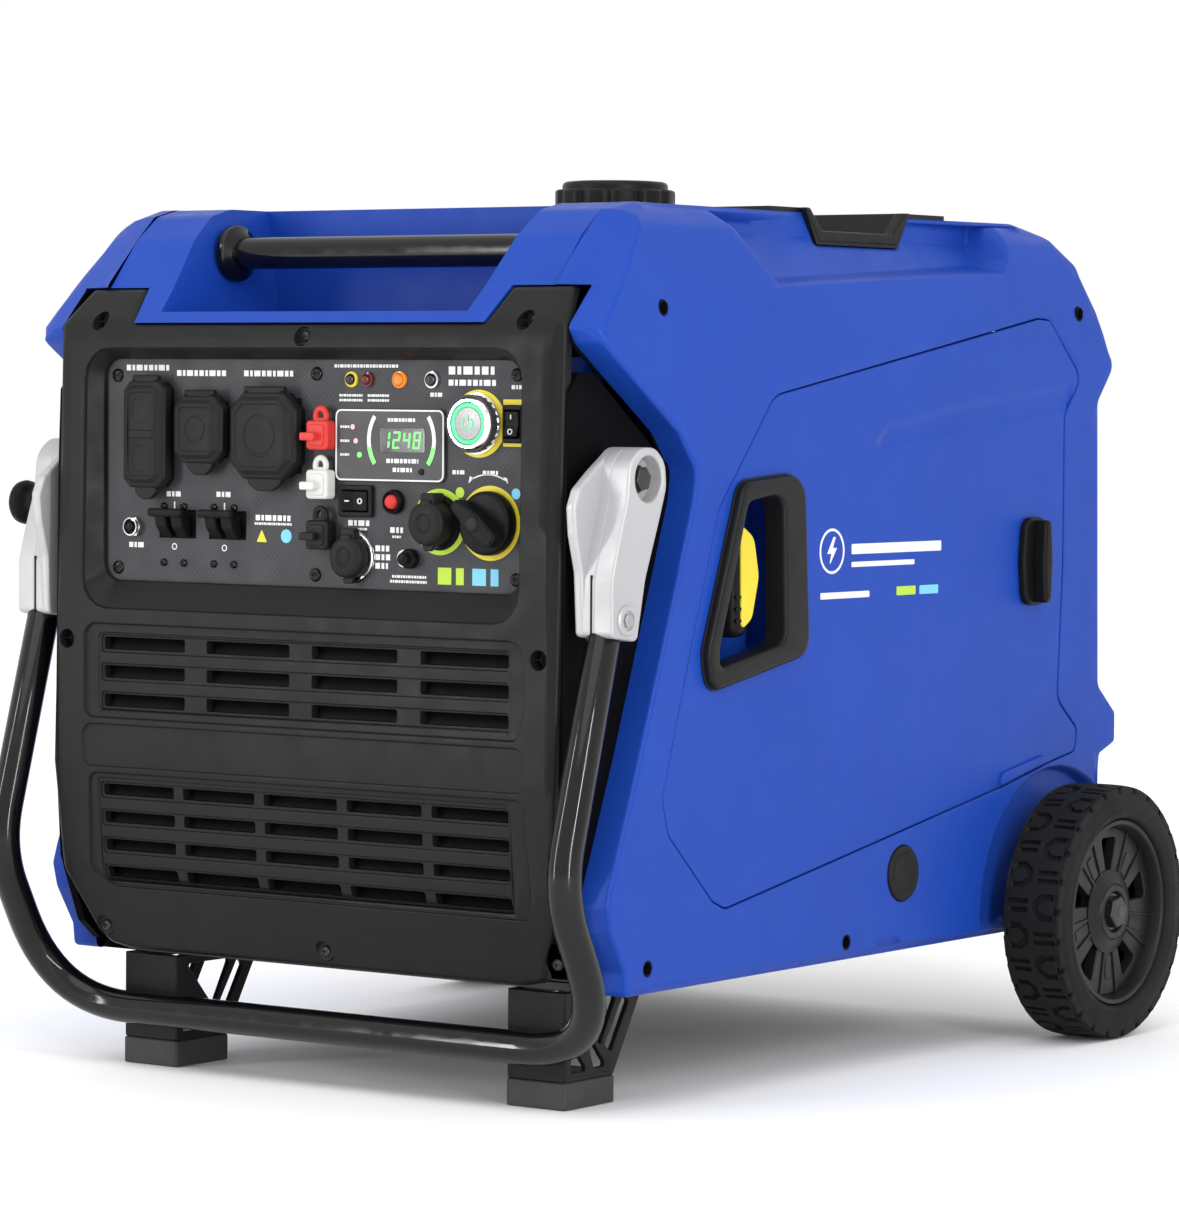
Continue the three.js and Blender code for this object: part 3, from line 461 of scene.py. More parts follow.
def turned_ring(profile, axis, centre, sides=64):
    """A closed (radius, height) profile turned round an axis: a ring with no caps."""
    return loft(turned_loops(profile, axis, centre, sides), closed=True)


def disc_profile(radius, low, high, edge=1.0, steps=3):
    """A plain disc from low to high with rounded rims, for lathe()."""
    return [(max(radius - inset, 0.01), height) for inset,
            height in edge_profile(low, high, edge, edge, steps)]


def sweep(path, radius, sides=24, closed=False):
    """A round bar along a path of points."""
    path = [Vector(p) for p in path]
    count = len(path)
    tangents = []
    for i in range(count):
        before = path[i - 1] if closed or i else path[i]
        after = path[(i + 1) % count] if closed or i < count - 1 else path[i]
        tangents.append((after - before).normalized())
    side = tangents[0].orthogonal().normalized()
    loops = []
    for point, tangent in zip(path, tangents):
        side = (side - tangent * side.dot(tangent)).normalized()
        other = tangent.cross(side)
        loops.append([
            tuple(point + (side * math.cos(a) + other * math.sin(a)) * radius)
            for a in (k * math.tau / sides for k in range(sides))
        ])
    points, faces = loft(loops, closed)
    if not closed:
        faces.append(tuple(range(sides)))
        faces.append(tuple(range(len(points) - sides, len(points))))
    return points, faces


def turned_about(shape, axis, angle, centre):
    """A shape turned by an angle in degrees about an axis through a centre point."""
    turn = Matrix.Rotation(math.radians(angle), 3, axis.upper())
    middle = Vector(centre)
    return [tuple(middle + turn @ (Vector(p) - middle)) for p in shape[0]], shape[1]


def mirrored(shape):
    """The same shape on the other side of the generator."""
    return [(-p[0], p[1], p[2]) for p in shape[0]], [tuple(reversed(face)) for face in shape[1]]


def unturned(shape):
    return shape


SIDES = (("right", unturned), ("left", mirrored))


def all_in(look, *shapes):
    """Shapes of one look, as parts of a piece."""
    return [(shape, look) for shape in shapes]


# ---------------------------------------------------------------- moulded panels
def step(corners, depth, edge=0.8, foot=0.6, draft=0.3, through=False, parent=0.0, steps=4):
    """A rounded step inside a loop: (points, depth) rings from the surface outside it to the one inside."""
    sign = math.copysign(1, depth)
    size = abs(depth)
    edge, foot = min(edge, size * 0.45), min(foot, size * 0.45)
    pairs = []
    for k in range(4):
        t = math.pi / 2 * k / 3
        pairs.append((-edge + edge * math.sin(t), edge - edge * math.cos(t)))
    if through:
        pairs.append((draft, size))
    else:
        for k in range(4):
            t = math.pi / 2 * k / 3
            pairs.append((draft + foot - foot * math.cos(t), size - foot + foot * math.sin(t)))
    rings = [(ring(corners, inset, steps), parent + sign * d) for inset, d in pairs]
    return {"rings": rings, "through": through}


def relief(outline, steps, surface_at, rim=(1.5, 6.0), spacing=8.0, wrap=on_axis, axis="y", lines=()):
    """A moulded panel over (u, v): the outline's rounded rim, steps in it, and the surface it follows."""
    edge, wall = rim
    outer = [
        (edge, 0), (edge * 0.5, edge * 0.13), (edge * 0.13, edge * 0.5), (0, edge), (-0.1, wall),
    ]
    loops = [{"rings": [(ring(outline, inset), depth) for inset, depth in outer], "through": False}, *steps]
    flat, depths, edges = [], [], []
    for loop in loops:
        for points, depth in loop["rings"]:
            start = len(flat)
            flat += [Vector(p) for p in points]
            depths += [depth] * len(points)
            edges += [(start + k, start + (k + 1) % len(points)) for k in range(len(points))]
    border = np.array(loops[0]["rings"][0][0])
    low, high = border.min(axis=0), border.max(axis=0)
    grid = np.array([
        (u, v)
        for u in np.arange(low[0] + spacing / 2, high[0], spacing)
        for v in np.arange(low[1] + spacing / 2, high[1], spacing)
    ])
    level = np.zeros(len(grid))
    free = inside(border, grid)
    for line in lines:
        row = np.array(line)
        kept = inside(border, row)
        for loop in loops[1:]:
            kept &= ~inside(np.array(loop["rings"][0][0]), row)
        previous = False
        for point, good in zip(line, kept):
            if good:
                flat.append(Vector(point))
                depths.append(0)
                if previous:
                    edges.append((len(flat) - 2, len(flat) - 1))
            previous = bool(good)
    for loop in loops[1:]:
        first, last = np.array(loop["rings"][0][0]), np.array(loop["rings"][-1][0])
        within, core = inside(first, grid), inside(last, grid)
        free &= ~(within & ~core)
        if loop["through"]:
            free &= ~core
        level[core] = loop["rings"][-1][1] if not callable(loop["rings"][-1][1]) else 0
        if callable(loop["rings"][-1][1]):
            free &= ~core
    fixed = np.array([tuple(p) for p in flat])
    for i in np.nonzero(free)[0]:
        if np.min(np.abs(fixed - grid[i]).sum(axis=1)) > spacing * 0.3:
            flat.append(Vector(grid[i]))
            depths.append(level[i])
    found, _, triangles, origins, _, _ = delaunay_2d_cdt(flat, edges, [], 0, 1e-4)
    places = np.array([tuple(p) for p in found])
    middles = places[np.array(triangles)].mean(axis=1)
    keep = inside(np.array(loops[0]["rings"][-1][0]), middles)
    for loop in loops[1:]:
        if loop["through"]:
            keep &= ~inside(np.array(loop["rings"][-1][0]), middles)
    points = []
    for (u, v), origin in zip(places, origins):
        source = origin[0] if origin else int(np.argmin(np.abs(fixed - (u, v)).sum(axis=1)))
        depth = depths[source]
        height = depth(u, v) if callable(depth) else surface_at(u, v) + depth
        points.append(wrap(axis, u, v, height))
    return points, [tuple(t) for t, kept in zip(triangles, keep) if kept]


def follow(line, value, soften_by=6.0):
    """A height along a line of (height, place) points, with its bends eased."""
    places = [p for _, p in line]
    heights = [h for h, _ in line]
    offsets = (-1.0, -0.5, 0.0, 0.5, 1.0)
    return float(np.mean([np.interp(value + k * soften_by, places, heights) for k in offsets]))


# ---------------------------------------------------------------- pieces
def piece(name, body, parts, replaces=(), angle=180):
    """An object made of (shape, look) parts, riding on a body and standing for CAD nodes."""
    mesh = bpy.data.meshes.new(name)
    points, faces, looks, slots = [], [], [], []
    for (shape_points, shape_faces), look in parts:
        if look not in looks:
            looks.append(look)
        start = len(points)
        points += [metres(p) for p in shape_points]
        sound = [face for face in shape_faces if len(set(face)) == len(face)]
        faces += [tuple(start + i for i in face) for face in sound]
        slots += [looks.index(look)] * len(sound)
    mesh.from_pydata(points, [], faces)
    for look in looks:
        mesh.materials.append(look)
    mesh.polygons.foreach_set("material_index", slots)
    work = bmesh.new()
    work.from_mesh(mesh)
    bmesh.ops.remove_doubles(work, verts=work.verts, dist=1e-6)
    bmesh.ops.recalc_face_normals(work, faces=work.faces)
    work.to_mesh(mesh)
    work.free()
    mesh.polygons.foreach_set("use_smooth", [True] * len(mesh.polygons))
    if angle < 180:
        mesh.set_sharp_from_angle(angle=math.radians(angle))
    made = bpy.data.objects.new(name, mesh)
    bpy.context.scene.collection.objects.link(made)
    shade = made.modifiers.new("shade", "WEIGHTED_NORMAL")
    shade.keep_sharp = True
    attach(made, body)
    if replaces:
        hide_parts(*replaces)
    return made


# ---------------------------------------------------------------- front fascia
FRONT_LINE = [
    (-20, 93), (-29, 110), (-48, 160), (-54, 250), (-54, 340), (-50, 565), (-44, 581), (-18, 608.5),
]
PLATE_Y = -34


def fascia_front(_, z):
    return follow(FRONT_LINE, z)


def constant(height):
    return lambda u, v: height


def fascia_opening():
    """The control opening: a rounded lip, then a sill that slopes back to the control plate."""
    outer = [(-213, 361, 24), (209, 361, 24), (209, 562, 24), (-213, 562, 24)]
    inner = [(-204, 382, 14), (199, 382, 14), (199, 554, 14), (-204, 554, 14)]
    rings = step(outer, 3.0, edge=2.2, foot=0.7)["rings"]
    rings.append((ring(inner, -0.8), constant(-38)))
    rings.append((ring(inner, 0), constant(-37)))
    rings.append((ring(inner, 0.3), constant(-34.6)))
    return {"rings": rings, "through": True}


GRILLES = (
    {"frame": [(-210, 276, 8), (210, 276, 8), (215, 300, 14), (214, 349, 14), (-204, 349, 8),
               (-210, 342, 6)],
     "well": rectangle(-198, 202, 282, 342, 4), "rows": 3, "columns": 4, "top": 338.5, "pitch": 22.2,
     "height": 9.6, "left": -194, "right": 197, "space": 22},
    {"frame": [(-188, 144, 10), (218, 144, 12), (214, 233, 8), (-206, 233, 8), (-209, 156, 10)],
     "well": rectangle(-200, 200, 150, 229, 4), "rows": 4, "columns": 5, "top": 224, "pitch": 21.6,
     "height": 8.6, "left": -196, "right": 196, "space": 9.5},
)


def opening_width(grille):
    columns = grille["columns"]
    return (grille["right"] - grille["left"] - grille["space"] * (columns - 1)) / columns


def grille_steps(grille):
    """A recessed frame, a well inside it, a channel along each row, and the slots themselves."""
    steps = [
        step(grille["frame"], 3.0, edge=1.4, foot=1.0),
        step(grille["well"], 1.2, edge=0.6, foot=0.4, parent=3.0),
    ]
    width = opening_width(grille)
    for row in range(grille["rows"]):
        high = grille["top"] - row * grille["pitch"]
        low = high - grille["height"]
        channel = rectangle(grille["left"] - 1.8, grille["right"] + 1.8, low - 2.4, high + 1.8, 2.6)
        steps.append(step(channel, 1.8, edge=0.7, foot=0.4, parent=4.2))
        for column in range(grille["columns"]):
            left = grille["left"] + column * (width + grille["space"])
            slot_outline = rectangle(left, left + width, low, high, 1.6)
            steps.append(step(slot_outline, 7.0, edge=0.5, through=True, parent=6.0, draft=0.4))
    return steps


def bore_step(x, z, radius, floor):
    """A round counterbore whose floor is upright, whatever the slope around it."""
    rings = [(ring(circle(x, z, radius + 0.9)), 0.0), (ring(circle(x, z, radius + 0.3)), 0.25),
             (ring(circle(x, z, radius)), 0.9), (ring(circle(x, z, radius - 0.3)), constant(floor))]
    return {"rings": rings, "through": False}


FASCIA_SCREWS = ((-209, 111, -27, 7.6), (9, 106, -25, 7.6), (228, 112, -27, 7.6),
                 (-228, 336, -42, 7.2), (228, 336, -42, 7.2),
                 (-205, 583, -30, 7.2), (1, 571, -42, 7.2), (205, 583, -30, 7.2))


def screw_head(x, z, y, radius=4.4, axis="y"):
    """A pan head; its cross recess is drawn as a flat cross that the callers colour dark, painted shade
    standing for the recess.
    """
    centre = (x, z)
    dome = [(0.01, y - 2.6), (radius * 0.55, y - 2.3), (radius * 0.88, y - 1.4), (radius, y - 0.4),
            (radius, y + 1)]
    head = lathe(dome, axis, centre, 20)
    cross = [slab(rectangle(x - a, x + a, z - b, z + b, 0.2), axis, y - 2.75, y - 2.0, 0.1)
             for a, b in ((radius * 0.5, radius * 0.13), (radius * 0.13, radius * 0.5))]
    return head, cross


def build_fascia():
    side = [(191, 93, 8), (212, 97, 10), (238, 154, 30), (243, 240, 30), (243, 581, 10), (232, 608, 5),
            (177, 608, 4), (170, 581, 8)]
    outline = side + [(-x, z, r) for x, z, r in reversed(side)]
    steps = [fascia_opening()]
    for grille in GRILLES:
        steps += grille_steps(grille)
    steps.append(step([(-212, 238, 7), (214, 238, 7), (214, 271, 7), (-206, 271, 6), (-212, 265, 6)],
                      2.0, edge=1.2, foot=0.8))
    for x, z, floor, radius in FASCIA_SCREWS:
        steps.append(bore_step(x, z, radius, floor))
    skin = relief(outline, steps, fascia_front, rim=(4.0, 9.0), spacing=9.0)
    piece("fascia", "housing", [(skin, BLACK)], replaces=["front_fascia"])
    blades = []
    for grille in GRILLES:
        for row in range(grille["rows"]):
            high = grille["top"] - row * grille["pitch"]
            low = high - grille["height"]
            y = fascia_front(0, low - 4) + 8.6
            blade = [(y, low - 4.5, 0.8), (y + 1.9, low - 5.0, 0.8), (y + 14.9, high + 6, 0.8),
                     (y + 13.1, high + 7, 0.8)]
            blades.append(slab(blade, "x", grille["left"] - 3, grille["right"] + 3, 0.4))
        width = opening_width(grille)
        bottom = grille["top"] - (grille["rows"] - 1) * grille["pitch"] - grille["height"]
        for column in range(grille["columns"] - 1):
            x = grille["left"] + (column + 1) * width + (column + 0.5) * grille["space"]
            blades.append(slab(rectangle(x - 2.2, x + 2.2, bottom - 6, grille["top"] + 5, 0.6), "y",
                               fascia_front(0, bottom) + 8, -30, 0.4))
    piece("grille_blades", "housing", all_in(DARK, *blades), angle=40)
    heads = []
    for x, z, floor, radius in FASCIA_SCREWS:
        head, cross = screw_head(x, z, floor)
        heads.append((head, DARK_STEEL))
        # The dark cross is painted shade standing for each screw's cross recess.
        heads += all_in(DARK, *cross)
    piece("fascia_screws", "housing", heads)


# ---------------------------------------------------------------- outlet lids
LIDS = (
    ("duplex", -155.7, 495.8, 42.5, 82.5, 7), ("locking", -101.5, 500, 49, 52, 9),
    ("range", -37.5, 496, 65, 66, 13),
)
LID_BACK = -40.3


def build_lids():
    for name, x, z, width, height, corner in LIDS:
        outline = cut_rectangle(x, z, width, height, corner, 4)
        well = cut_rectangle(x, z, width - 17, height - 17, max(3, corner - 6), 3.5)
        raised = [
            (ring(well, -5.5), 0.0), (ring(well, -4.6), -0.5), (ring(well, -2.2), -3.2),
            (ring(well, -1.4), -3.7),
            (ring(well, -0.3), -3.7), (ring(well, 0.3), -3.3), (ring(well, 0.9), -2.4),
            (ring(well, 1.6), -2.2),
        ]
        steps = [{"rings": raised, "through": False}]
        if name == "duplex":
            for offset in (19, -19):
                steps.append(step(rectangle(x - 9, x + 9, z + offset - 10, z + offset + 10, 7), 0.5,
                                  edge=0.2,
                                  foot=0.2, parent=-2.2))
            steps.append(step(rectangle(x - 12.5, x + 12.5, z - 3, z + 3, 2), -1.0, edge=0.4, foot=0.3,
                              parent=-2.2))
        else:
            radius = min(width, height) * (0.21 if name == "locking" else 0.25)
            steps.append(step(circle(x, z, radius), 0.6, edge=0.25, foot=0.2, parent=-2.2))
            steps.append(step(circle(x, z, radius * 0.86), -0.5, edge=0.2, foot=0.2,
                              parent=-1.6))
        skin = relief(outline, steps, lambda u, v: -48.0, rim=(3.4, 7.8), spacing=5.0)
        low = z - height / 2
        half = width * 0.27
        tab = slab([(x - half, low + 4, 2), (x + half, low + 4, 2), (x + half * 0.9, low - 4, 5),
                    (x + half * 0.4, low - 9, 6), (x - half * 0.4, low - 9, 6),
                    (x - half * 0.9, low - 4, 5)],
                   "y", -45.2, LID_BACK - 0.4, 1.2)
        top = z + height / 2
        hinge = lathe_x(x - width * 0.3, x + width * 0.3, -43.5, top + 1.8, 2.6)
        strap = slab(rectangle(x - width * 0.24, x + width * 0.24, top - 6, top + 3, 1), "y", -46.0,
                     LID_BACK, 0.8)
        backing = slab(moved_in(outline, 2.2), "y", -42.5, LID_BACK, 0.4)
        made = piece(f"lid_{name}_cover", f"lid_{name}",
                     all_in(RUBBER, skin, tab, hinge, strap, backing),
                     replaces=[f"lid_{name}"])
        made.data.set_sharp_from_angle(angle=math.radians(50))


def lathe_x(x0, x1, y, z, radius, sides=20, edge=0.6):
    return lathe(disc_profile(radius, x0, x1, edge), "x", (y, z), sides)


# ---------------------------------------------------------------- caps, buttons and switches
def build_parallel_caps():
    x = 14
    for name, z, look, slot_name in (
        ("red", 498, RED, "red_plastic"), ("white", 461, WHITE, "white_plastic"),
        ("black", 423, BLACK, "black_plastic"),
    ):
        body = slab(rectangle(x - 10.5, x + 10.5, z - 12, z + 10, 3), "y", PLATE_Y - 12, PLATE_Y - 0.5, 2.2)
        face = slab(rectangle(x - 7.5, x + 7.5, z - 9, z + 7, 2.5), "y", PLATE_Y - 13.4, PLATE_Y - 11, 1.0)
        nib = slab(rectangle(x - 11, x + 3, z - 5, z + 1, 1.5), "y", PLATE_Y - 19, PLATE_Y - 11, 1.0)
        path = [(x + 5 * math.cos(a), PLATE_Y - 6, z + 13 + 6 * math.sin(a)) for a in
                (math.radians(k) for k in range(-30, 211, 15))]
        loop = sweep(path, 2.3, 12)
        neck = slab(rectangle(x - 5, x + 5, z + 7, z + 12, 1), "y", PLATE_Y - 8.2, PLATE_Y - 3.5, 0.8)
        plug = lathe_y(PLATE_Y - 1, PLATE_Y + 14, x, z, 7)
        piece(f"parallel_{name}", f"parallel_cap_{name}", all_in(look, body, face, nib, loop, neck, plug),
              replaces=[f"parallel_cap_{name}"], angle=40)


def lathe_y(y0, y1, x, z, radius, sides=40, edge=0.8):
    return lathe(disc_profile(radius, y0, y1, edge), "y", (x, z), sides)


def flat_ring(x, z, inner, outer, y, thick=0.3, sides=56):
    return turned_ring([(inner, y), (outer, y), (outer, y + thick), (inner, y + thick)], "y", (x, z), sides)


def build_start_button():
    x, z = 157, 507
    bezel = turned_ring([
        (15.7, -46.0), (16.4, -46.9), (18.0, -46.9), (20.2, -45.0), (21.3, -41.5), (21.5, PLATE_Y + 0.1),
        (15.7, PLATE_Y + 0.1),
    ], "y", (x, z))
    nut = turned_ring([(21, -37.5), (22.6, -37.2), (22.6, PLATE_Y), (21, PLATE_Y)], "y", (x, z))
    piece("start_bezel", "housing", all_in(CHROME, bezel, nut), angle=40)
    ring_lit = turned_ring([(12.2, -46.1), (13.0, -47.0), (14.4, -47.0), (15.3, -46.2), (15.4, -36),
                            (12.2, -36)],
                           "y", (x, z))
    face = lathe(disc_profile(12.4, -46.3, -36, 0.6), "y", (x, z), 48)
    stem = lathe(disc_profile(13, -38, -20, 0.5), "y", (x, z), 32)
    arc = [(x + 4.6 * math.sin(a), -46.4, z + 4.6 * math.cos(a)) for a in
           (math.radians(k) for k in range(35, 326, 15))]
    icon = sweep(arc, 0.55, 8)
    bar = slab(rectangle(x - 0.5, x + 0.5, z + 2, z + 6.5, 0.3), "y", -46.9, -46, 0.2)
    piece("start_push", "start_button",
          [(ring_lit, GREEN_LIGHT), (face, GLASS), (stem, DARK), (icon, GREEN_LIGHT), (bar, GREEN_LIGHT)],
          replaces=["start_button"], angle=40)


def build_small_controls():
    x, z = 80, 448
    dome = lathe([(0.01, -42.2), (2.5, -42.0), (4.4, -41.0), (5.4, -39.2), (5.6, -37), (5.6, -26)], "y",
                 (x, z), 32)
    piece("reset_push", "reset_button", [(dome, RED)], replaces=["reset_button"],
          angle=50)
    collar = turned_ring([(6.2, -38.5), (7.2, -39.4), (8.6, -38.4), (9.2, -36), (9.3, -33.9), (6.2, -33.9)],
                         "y", (x, z))
    piece("reset_collar", "housing", [(collar, DARK)], angle=50)

    x, z = -175, 424
    button = lathe([(0.01, -42.8), (2.2, -42.6), (3.4, -41.8), (3.8, -40), (3.8, -38.2), (5.6, -38),
                    (5.6, -24)],
                   "y", (x, z), 28)
    piece("breaker_push", "push_breaker", [(button, BLACK)], replaces=["push_breaker"],
          angle=50)
    nut = slab(hexagon(x, z, 8.2, 0.8), "y", -38.2, PLATE_Y - 0.1, 0.3, holes=[circle(x, z, 6.2, 24)])
    collar = turned_ring([(6.0, -41.0), (7.0, -40.8), (7.0, -38), (6.0, -38)], "y", (x, z), 32)
    piece("push_breaker_nut", "housing", all_in(CHROME, nut, collar), angle=40)

    for rating, x in ((30, -132), (50, -82)):
        z = 427
        base = slab(rectangle(x - 18.5, x + 18.5, z - 11, z + 11, 1), "y", -30, -28, 0.3)
        bar = slab(rectangle(x - 19, x + 15, z + 5.5, z + 12, 2.5), "y", PLATE_Y - 15, PLATE_Y - 8.5, 2.2)
        parts = [bar]
        for offset in (-9, 7):
            paddle = slab([(-32, z - 9, 3), (-36, z - 11, 4), (-44, z - 2, 4), (-46.5, z + 9, 3),
                           (-42, z + 10, 2),
                           (-33, z + 6, 2)], "x", x + offset - 5.4, x + offset + 5.4, 1.6)
            parts.append(paddle)
        piece(f"breaker_lever_{rating}", f"breaker_{rating}", all_in(DARK, *parts),
              replaces=[f"breaker_toggle_{rating}"], angle=45)
        piece(f"breaker_base_{rating}", "housing", [(base, DARK)])

    for name, body, x, z, width, height in (
        ("battery_rocker", "battery_switch", 190.5, 507, 12.5, 19),
        ("eco_rocker", "eco_switch", 44.5, 448, 23, 14.5),
    ):
        tall = height > width
        a, b = width / 2, height / 2
        if tall:
            side = [(PLATE_Y + 6, z - b, 1), (PLATE_Y - 6.6, z - b, 1.5), (PLATE_Y - 3.2, z, 6),
                    (PLATE_Y - 4.4, z + b, 1.5), (PLATE_Y + 6, z + b, 1)]
            rocker = slab(side, "x", x - a, x + a, 0.8)
            marks = [slab(rectangle(x - 0.5, x + 0.5, z + 3.5, z + 7, 0.3), "y", PLATE_Y - 4.9,
                          PLATE_Y - 4.0, 0.1),
                     turned_ring([(1.5, PLATE_Y - 5.9), (2.2, PLATE_Y - 5.9), (2.2, PLATE_Y - 5),
                                  (1.5, PLATE_Y - 5)],
                                 "y", (x, z - 5.5), 24)]
        else:
            side = [(x - a, PLATE_Y + 6, 1), (x - a, PLATE_Y - 6.2, 1.5), (x, PLATE_Y - 3.2, 6),
                    (x + a, PLATE_Y - 4.6, 1.5), (x + a, PLATE_Y + 6, 1)]
            rocker = slab(side, "z", z - b, z + b, 0.8)
            marks = [slab(rectangle(x - 8, x - 4, z - 0.5, z + 0.5, 0.3), "y", PLATE_Y - 5.9, PLATE_Y - 5.0,
                          0.1),
                     turned_ring([(1.5, PLATE_Y - 4.8), (2.2, PLATE_Y - 4.8), (2.2, PLATE_Y - 4),
                                  (1.5, PLATE_Y - 4)],
                                 "y", (x + 5.5, z), 24)]
        piece(name, body, [(rocker, DARK), *all_in(PRINT, *marks)], replaces=[body],
              angle=40)
        frame_width, frame_height = (18, 28) if tall else (32, 24)
        bezel = slab(rectangle(x - frame_width / 2, x + frame_width / 2, z - frame_height / 2,
                               z + frame_height / 2, 2),
                     "y", PLATE_Y - 3.4, PLATE_Y - 0.1, 1.0,
                     holes=[rectangle(x - a - 0.7, x + a + 0.7, z - b - 0.7, z + b + 0.7, 0.8)])
        piece(f"{name}_bezel", "housing", [(bezel, DARK)], angle=40)


def build_ports():
    for name, x, z, radius, front in (
        ("charge_port_cap", 122, 433, 16.5, -54), ("signal_port_cap", 42, 406, 16, -48),
    ):
        cap = lathe([
            (0.01, front + 0.3), (4.6, front + 0.3), (5.6, front + 1.0), (6.6, front + 1.0), (7.6, front),
            (12, front + 0.3), (radius - 2.2, front + 1.2), (radius - 0.4, front + 3.2),
            (radius, front + 6),
            (radius, PLATE_Y - 4), (radius - 1.2, PLATE_Y - 3),
        ], "y", (x, z), 56)
        knuckle = slab(rectangle(x - 6.5, x + 6.5, z + radius - 5, z + radius + 6, 2), "y", front + 4,
                       PLATE_Y - 2, 1.6)
        strap = slab(rectangle(x - 4.5, x + 4.5, z + radius - 9, z + radius + 1, 1.5), "y", front + 1.2,
                     front + 7, 1.2)
        lip = slab([(x - 6, z - radius + 2, 1), (x + 6, z - radius + 2, 1), (x + 4, z - radius - 4, 2.5),
                    (x - 4, z - radius - 4, 2.5)], "y", front + 5.5, front + 8.5, 1)
        piece(f"{name}_cover", name, all_in(RUBBER, cap, knuckle, strap, lip), replaces=[name],
              angle=45)
        flange = turned_ring([(11, PLATE_Y - 3.2), (radius + 2.4, PLATE_Y - 3.2),
                              (radius + 3.6, PLATE_Y - 2),
                              (radius + 3.8, PLATE_Y - 0.1), (11, PLATE_Y - 0.1)], "y", (x, z))
        look = CHROME if name.startswith("signal") else DARK
        piece(f"{name}_flange", "housing", [(flange, look)], angle=45)
    x, z = 96, 406
    stud = lathe([(0.01, -47), (3.2, -46.8), (4.4, -46), (5.0, -44.2), (5.0, -40.5), (6.4, -40),
                  (7.4, -38.6),
                  (7.4, PLATE_Y - 0.2)], "y", (x, z), 32)
    piece("ground_stud", "housing", [(stud, DARK)], angle=45)


DIAL_TURN = -52  # degrees: the pointer's place between the two fuels


def build_dial():
    x, z = 170, 434
    disc = lathe([(0.01, -44.6), (20.5, -44.6), (22.6, -43.6), (23.6, -41.6), (23.8, -36),
                  (23.2, PLATE_Y - 0.4)],
                 "y", (x, z), 64)
    grip = slab([(x - 6, z - 23, 4), (x + 6, z - 23, 4), (x + 8.2, z, 20), (x + 4.2, z + 24, 2.5),
                 (x - 4.2, z + 24, 2.5),
                 (x - 8.2, z, 20)], "y", -58, -43.5, 2.4)
    hub = lathe(disc_profile(6.2, -58.6, -50, 0.6), "y", (x, z), 32)
    well = lathe(disc_profile(4.6, -58.75, -55, 0.3), "y", (x, z), 28)
    grip = turned_about(grip, "y", DIAL_TURN, (x, 0, z))
    shaft = lathe_y(PLATE_Y - 1, PLATE_Y + 16, x, z, 5)
    piece("dial_knob", "fuel_dial", [(disc, DARK), (grip, DARK), (hub, DARK), (well, BLACK), (shaft, DARK)],
          replaces=["fuel_dial"], angle=40)


# ---------------------------------------------------------------- display, lamps and printed marks
# Lit bars of a seven-bar digit: a top, b upper right, c lower right, d bottom, e lower left,
# f upper left, g middle.
SEGMENTS = {
    "1": "bc", "2": "abged", "4": "fgbc", "8": "abcdefg",
}


def digit(symbol, x, z, width=6.4, height=12.6, thick=1.3, slant=0.12):
    a, b = width / 2, height / 2
    bars = {
        "a": (-a, a, b - thick, b), "d": (-a, a, -b, -b + thick), "g": (-a, a, -thick / 2, thick / 2),
        "b": (a - thick, a, 0.8, b - 0.8), "c": (a - thick, a, -b + 0.8, -0.8),
        "f": (-a, -a + thick, 0.8, b - 0.8), "e": (-a, -a + thick, -b + 0.8, -0.8),
    }
    shapes = []
    for key in SEGMENTS[symbol]:
        u0, u1, v0, v1 = bars[key]
        corners = [(x + u + slant * v, z + v, 0.3) for u, v in ((u0, v0), (u1, v0), (u1, v1), (u0, v1))]
        shapes.append(slab(corners, "y", PLATE_Y - 3.35, PLATE_Y - 2.9, 0.1))
    return shapes


def arc_band(x, z, inner, outer, start, end, y, thick=0.3, count=18):
    angles = [math.radians(start + (end - start) * k / count) for k in range(count + 1)]
    outline = [(x + outer * math.cos(a), z + outer * math.sin(a), 0) for a in angles]
    outline += [(x + inner * math.cos(a), z + inner * math.sin(a), 0) for a in reversed(angles)]
    return slab(outline, "y", y, y + thick, 0.05)


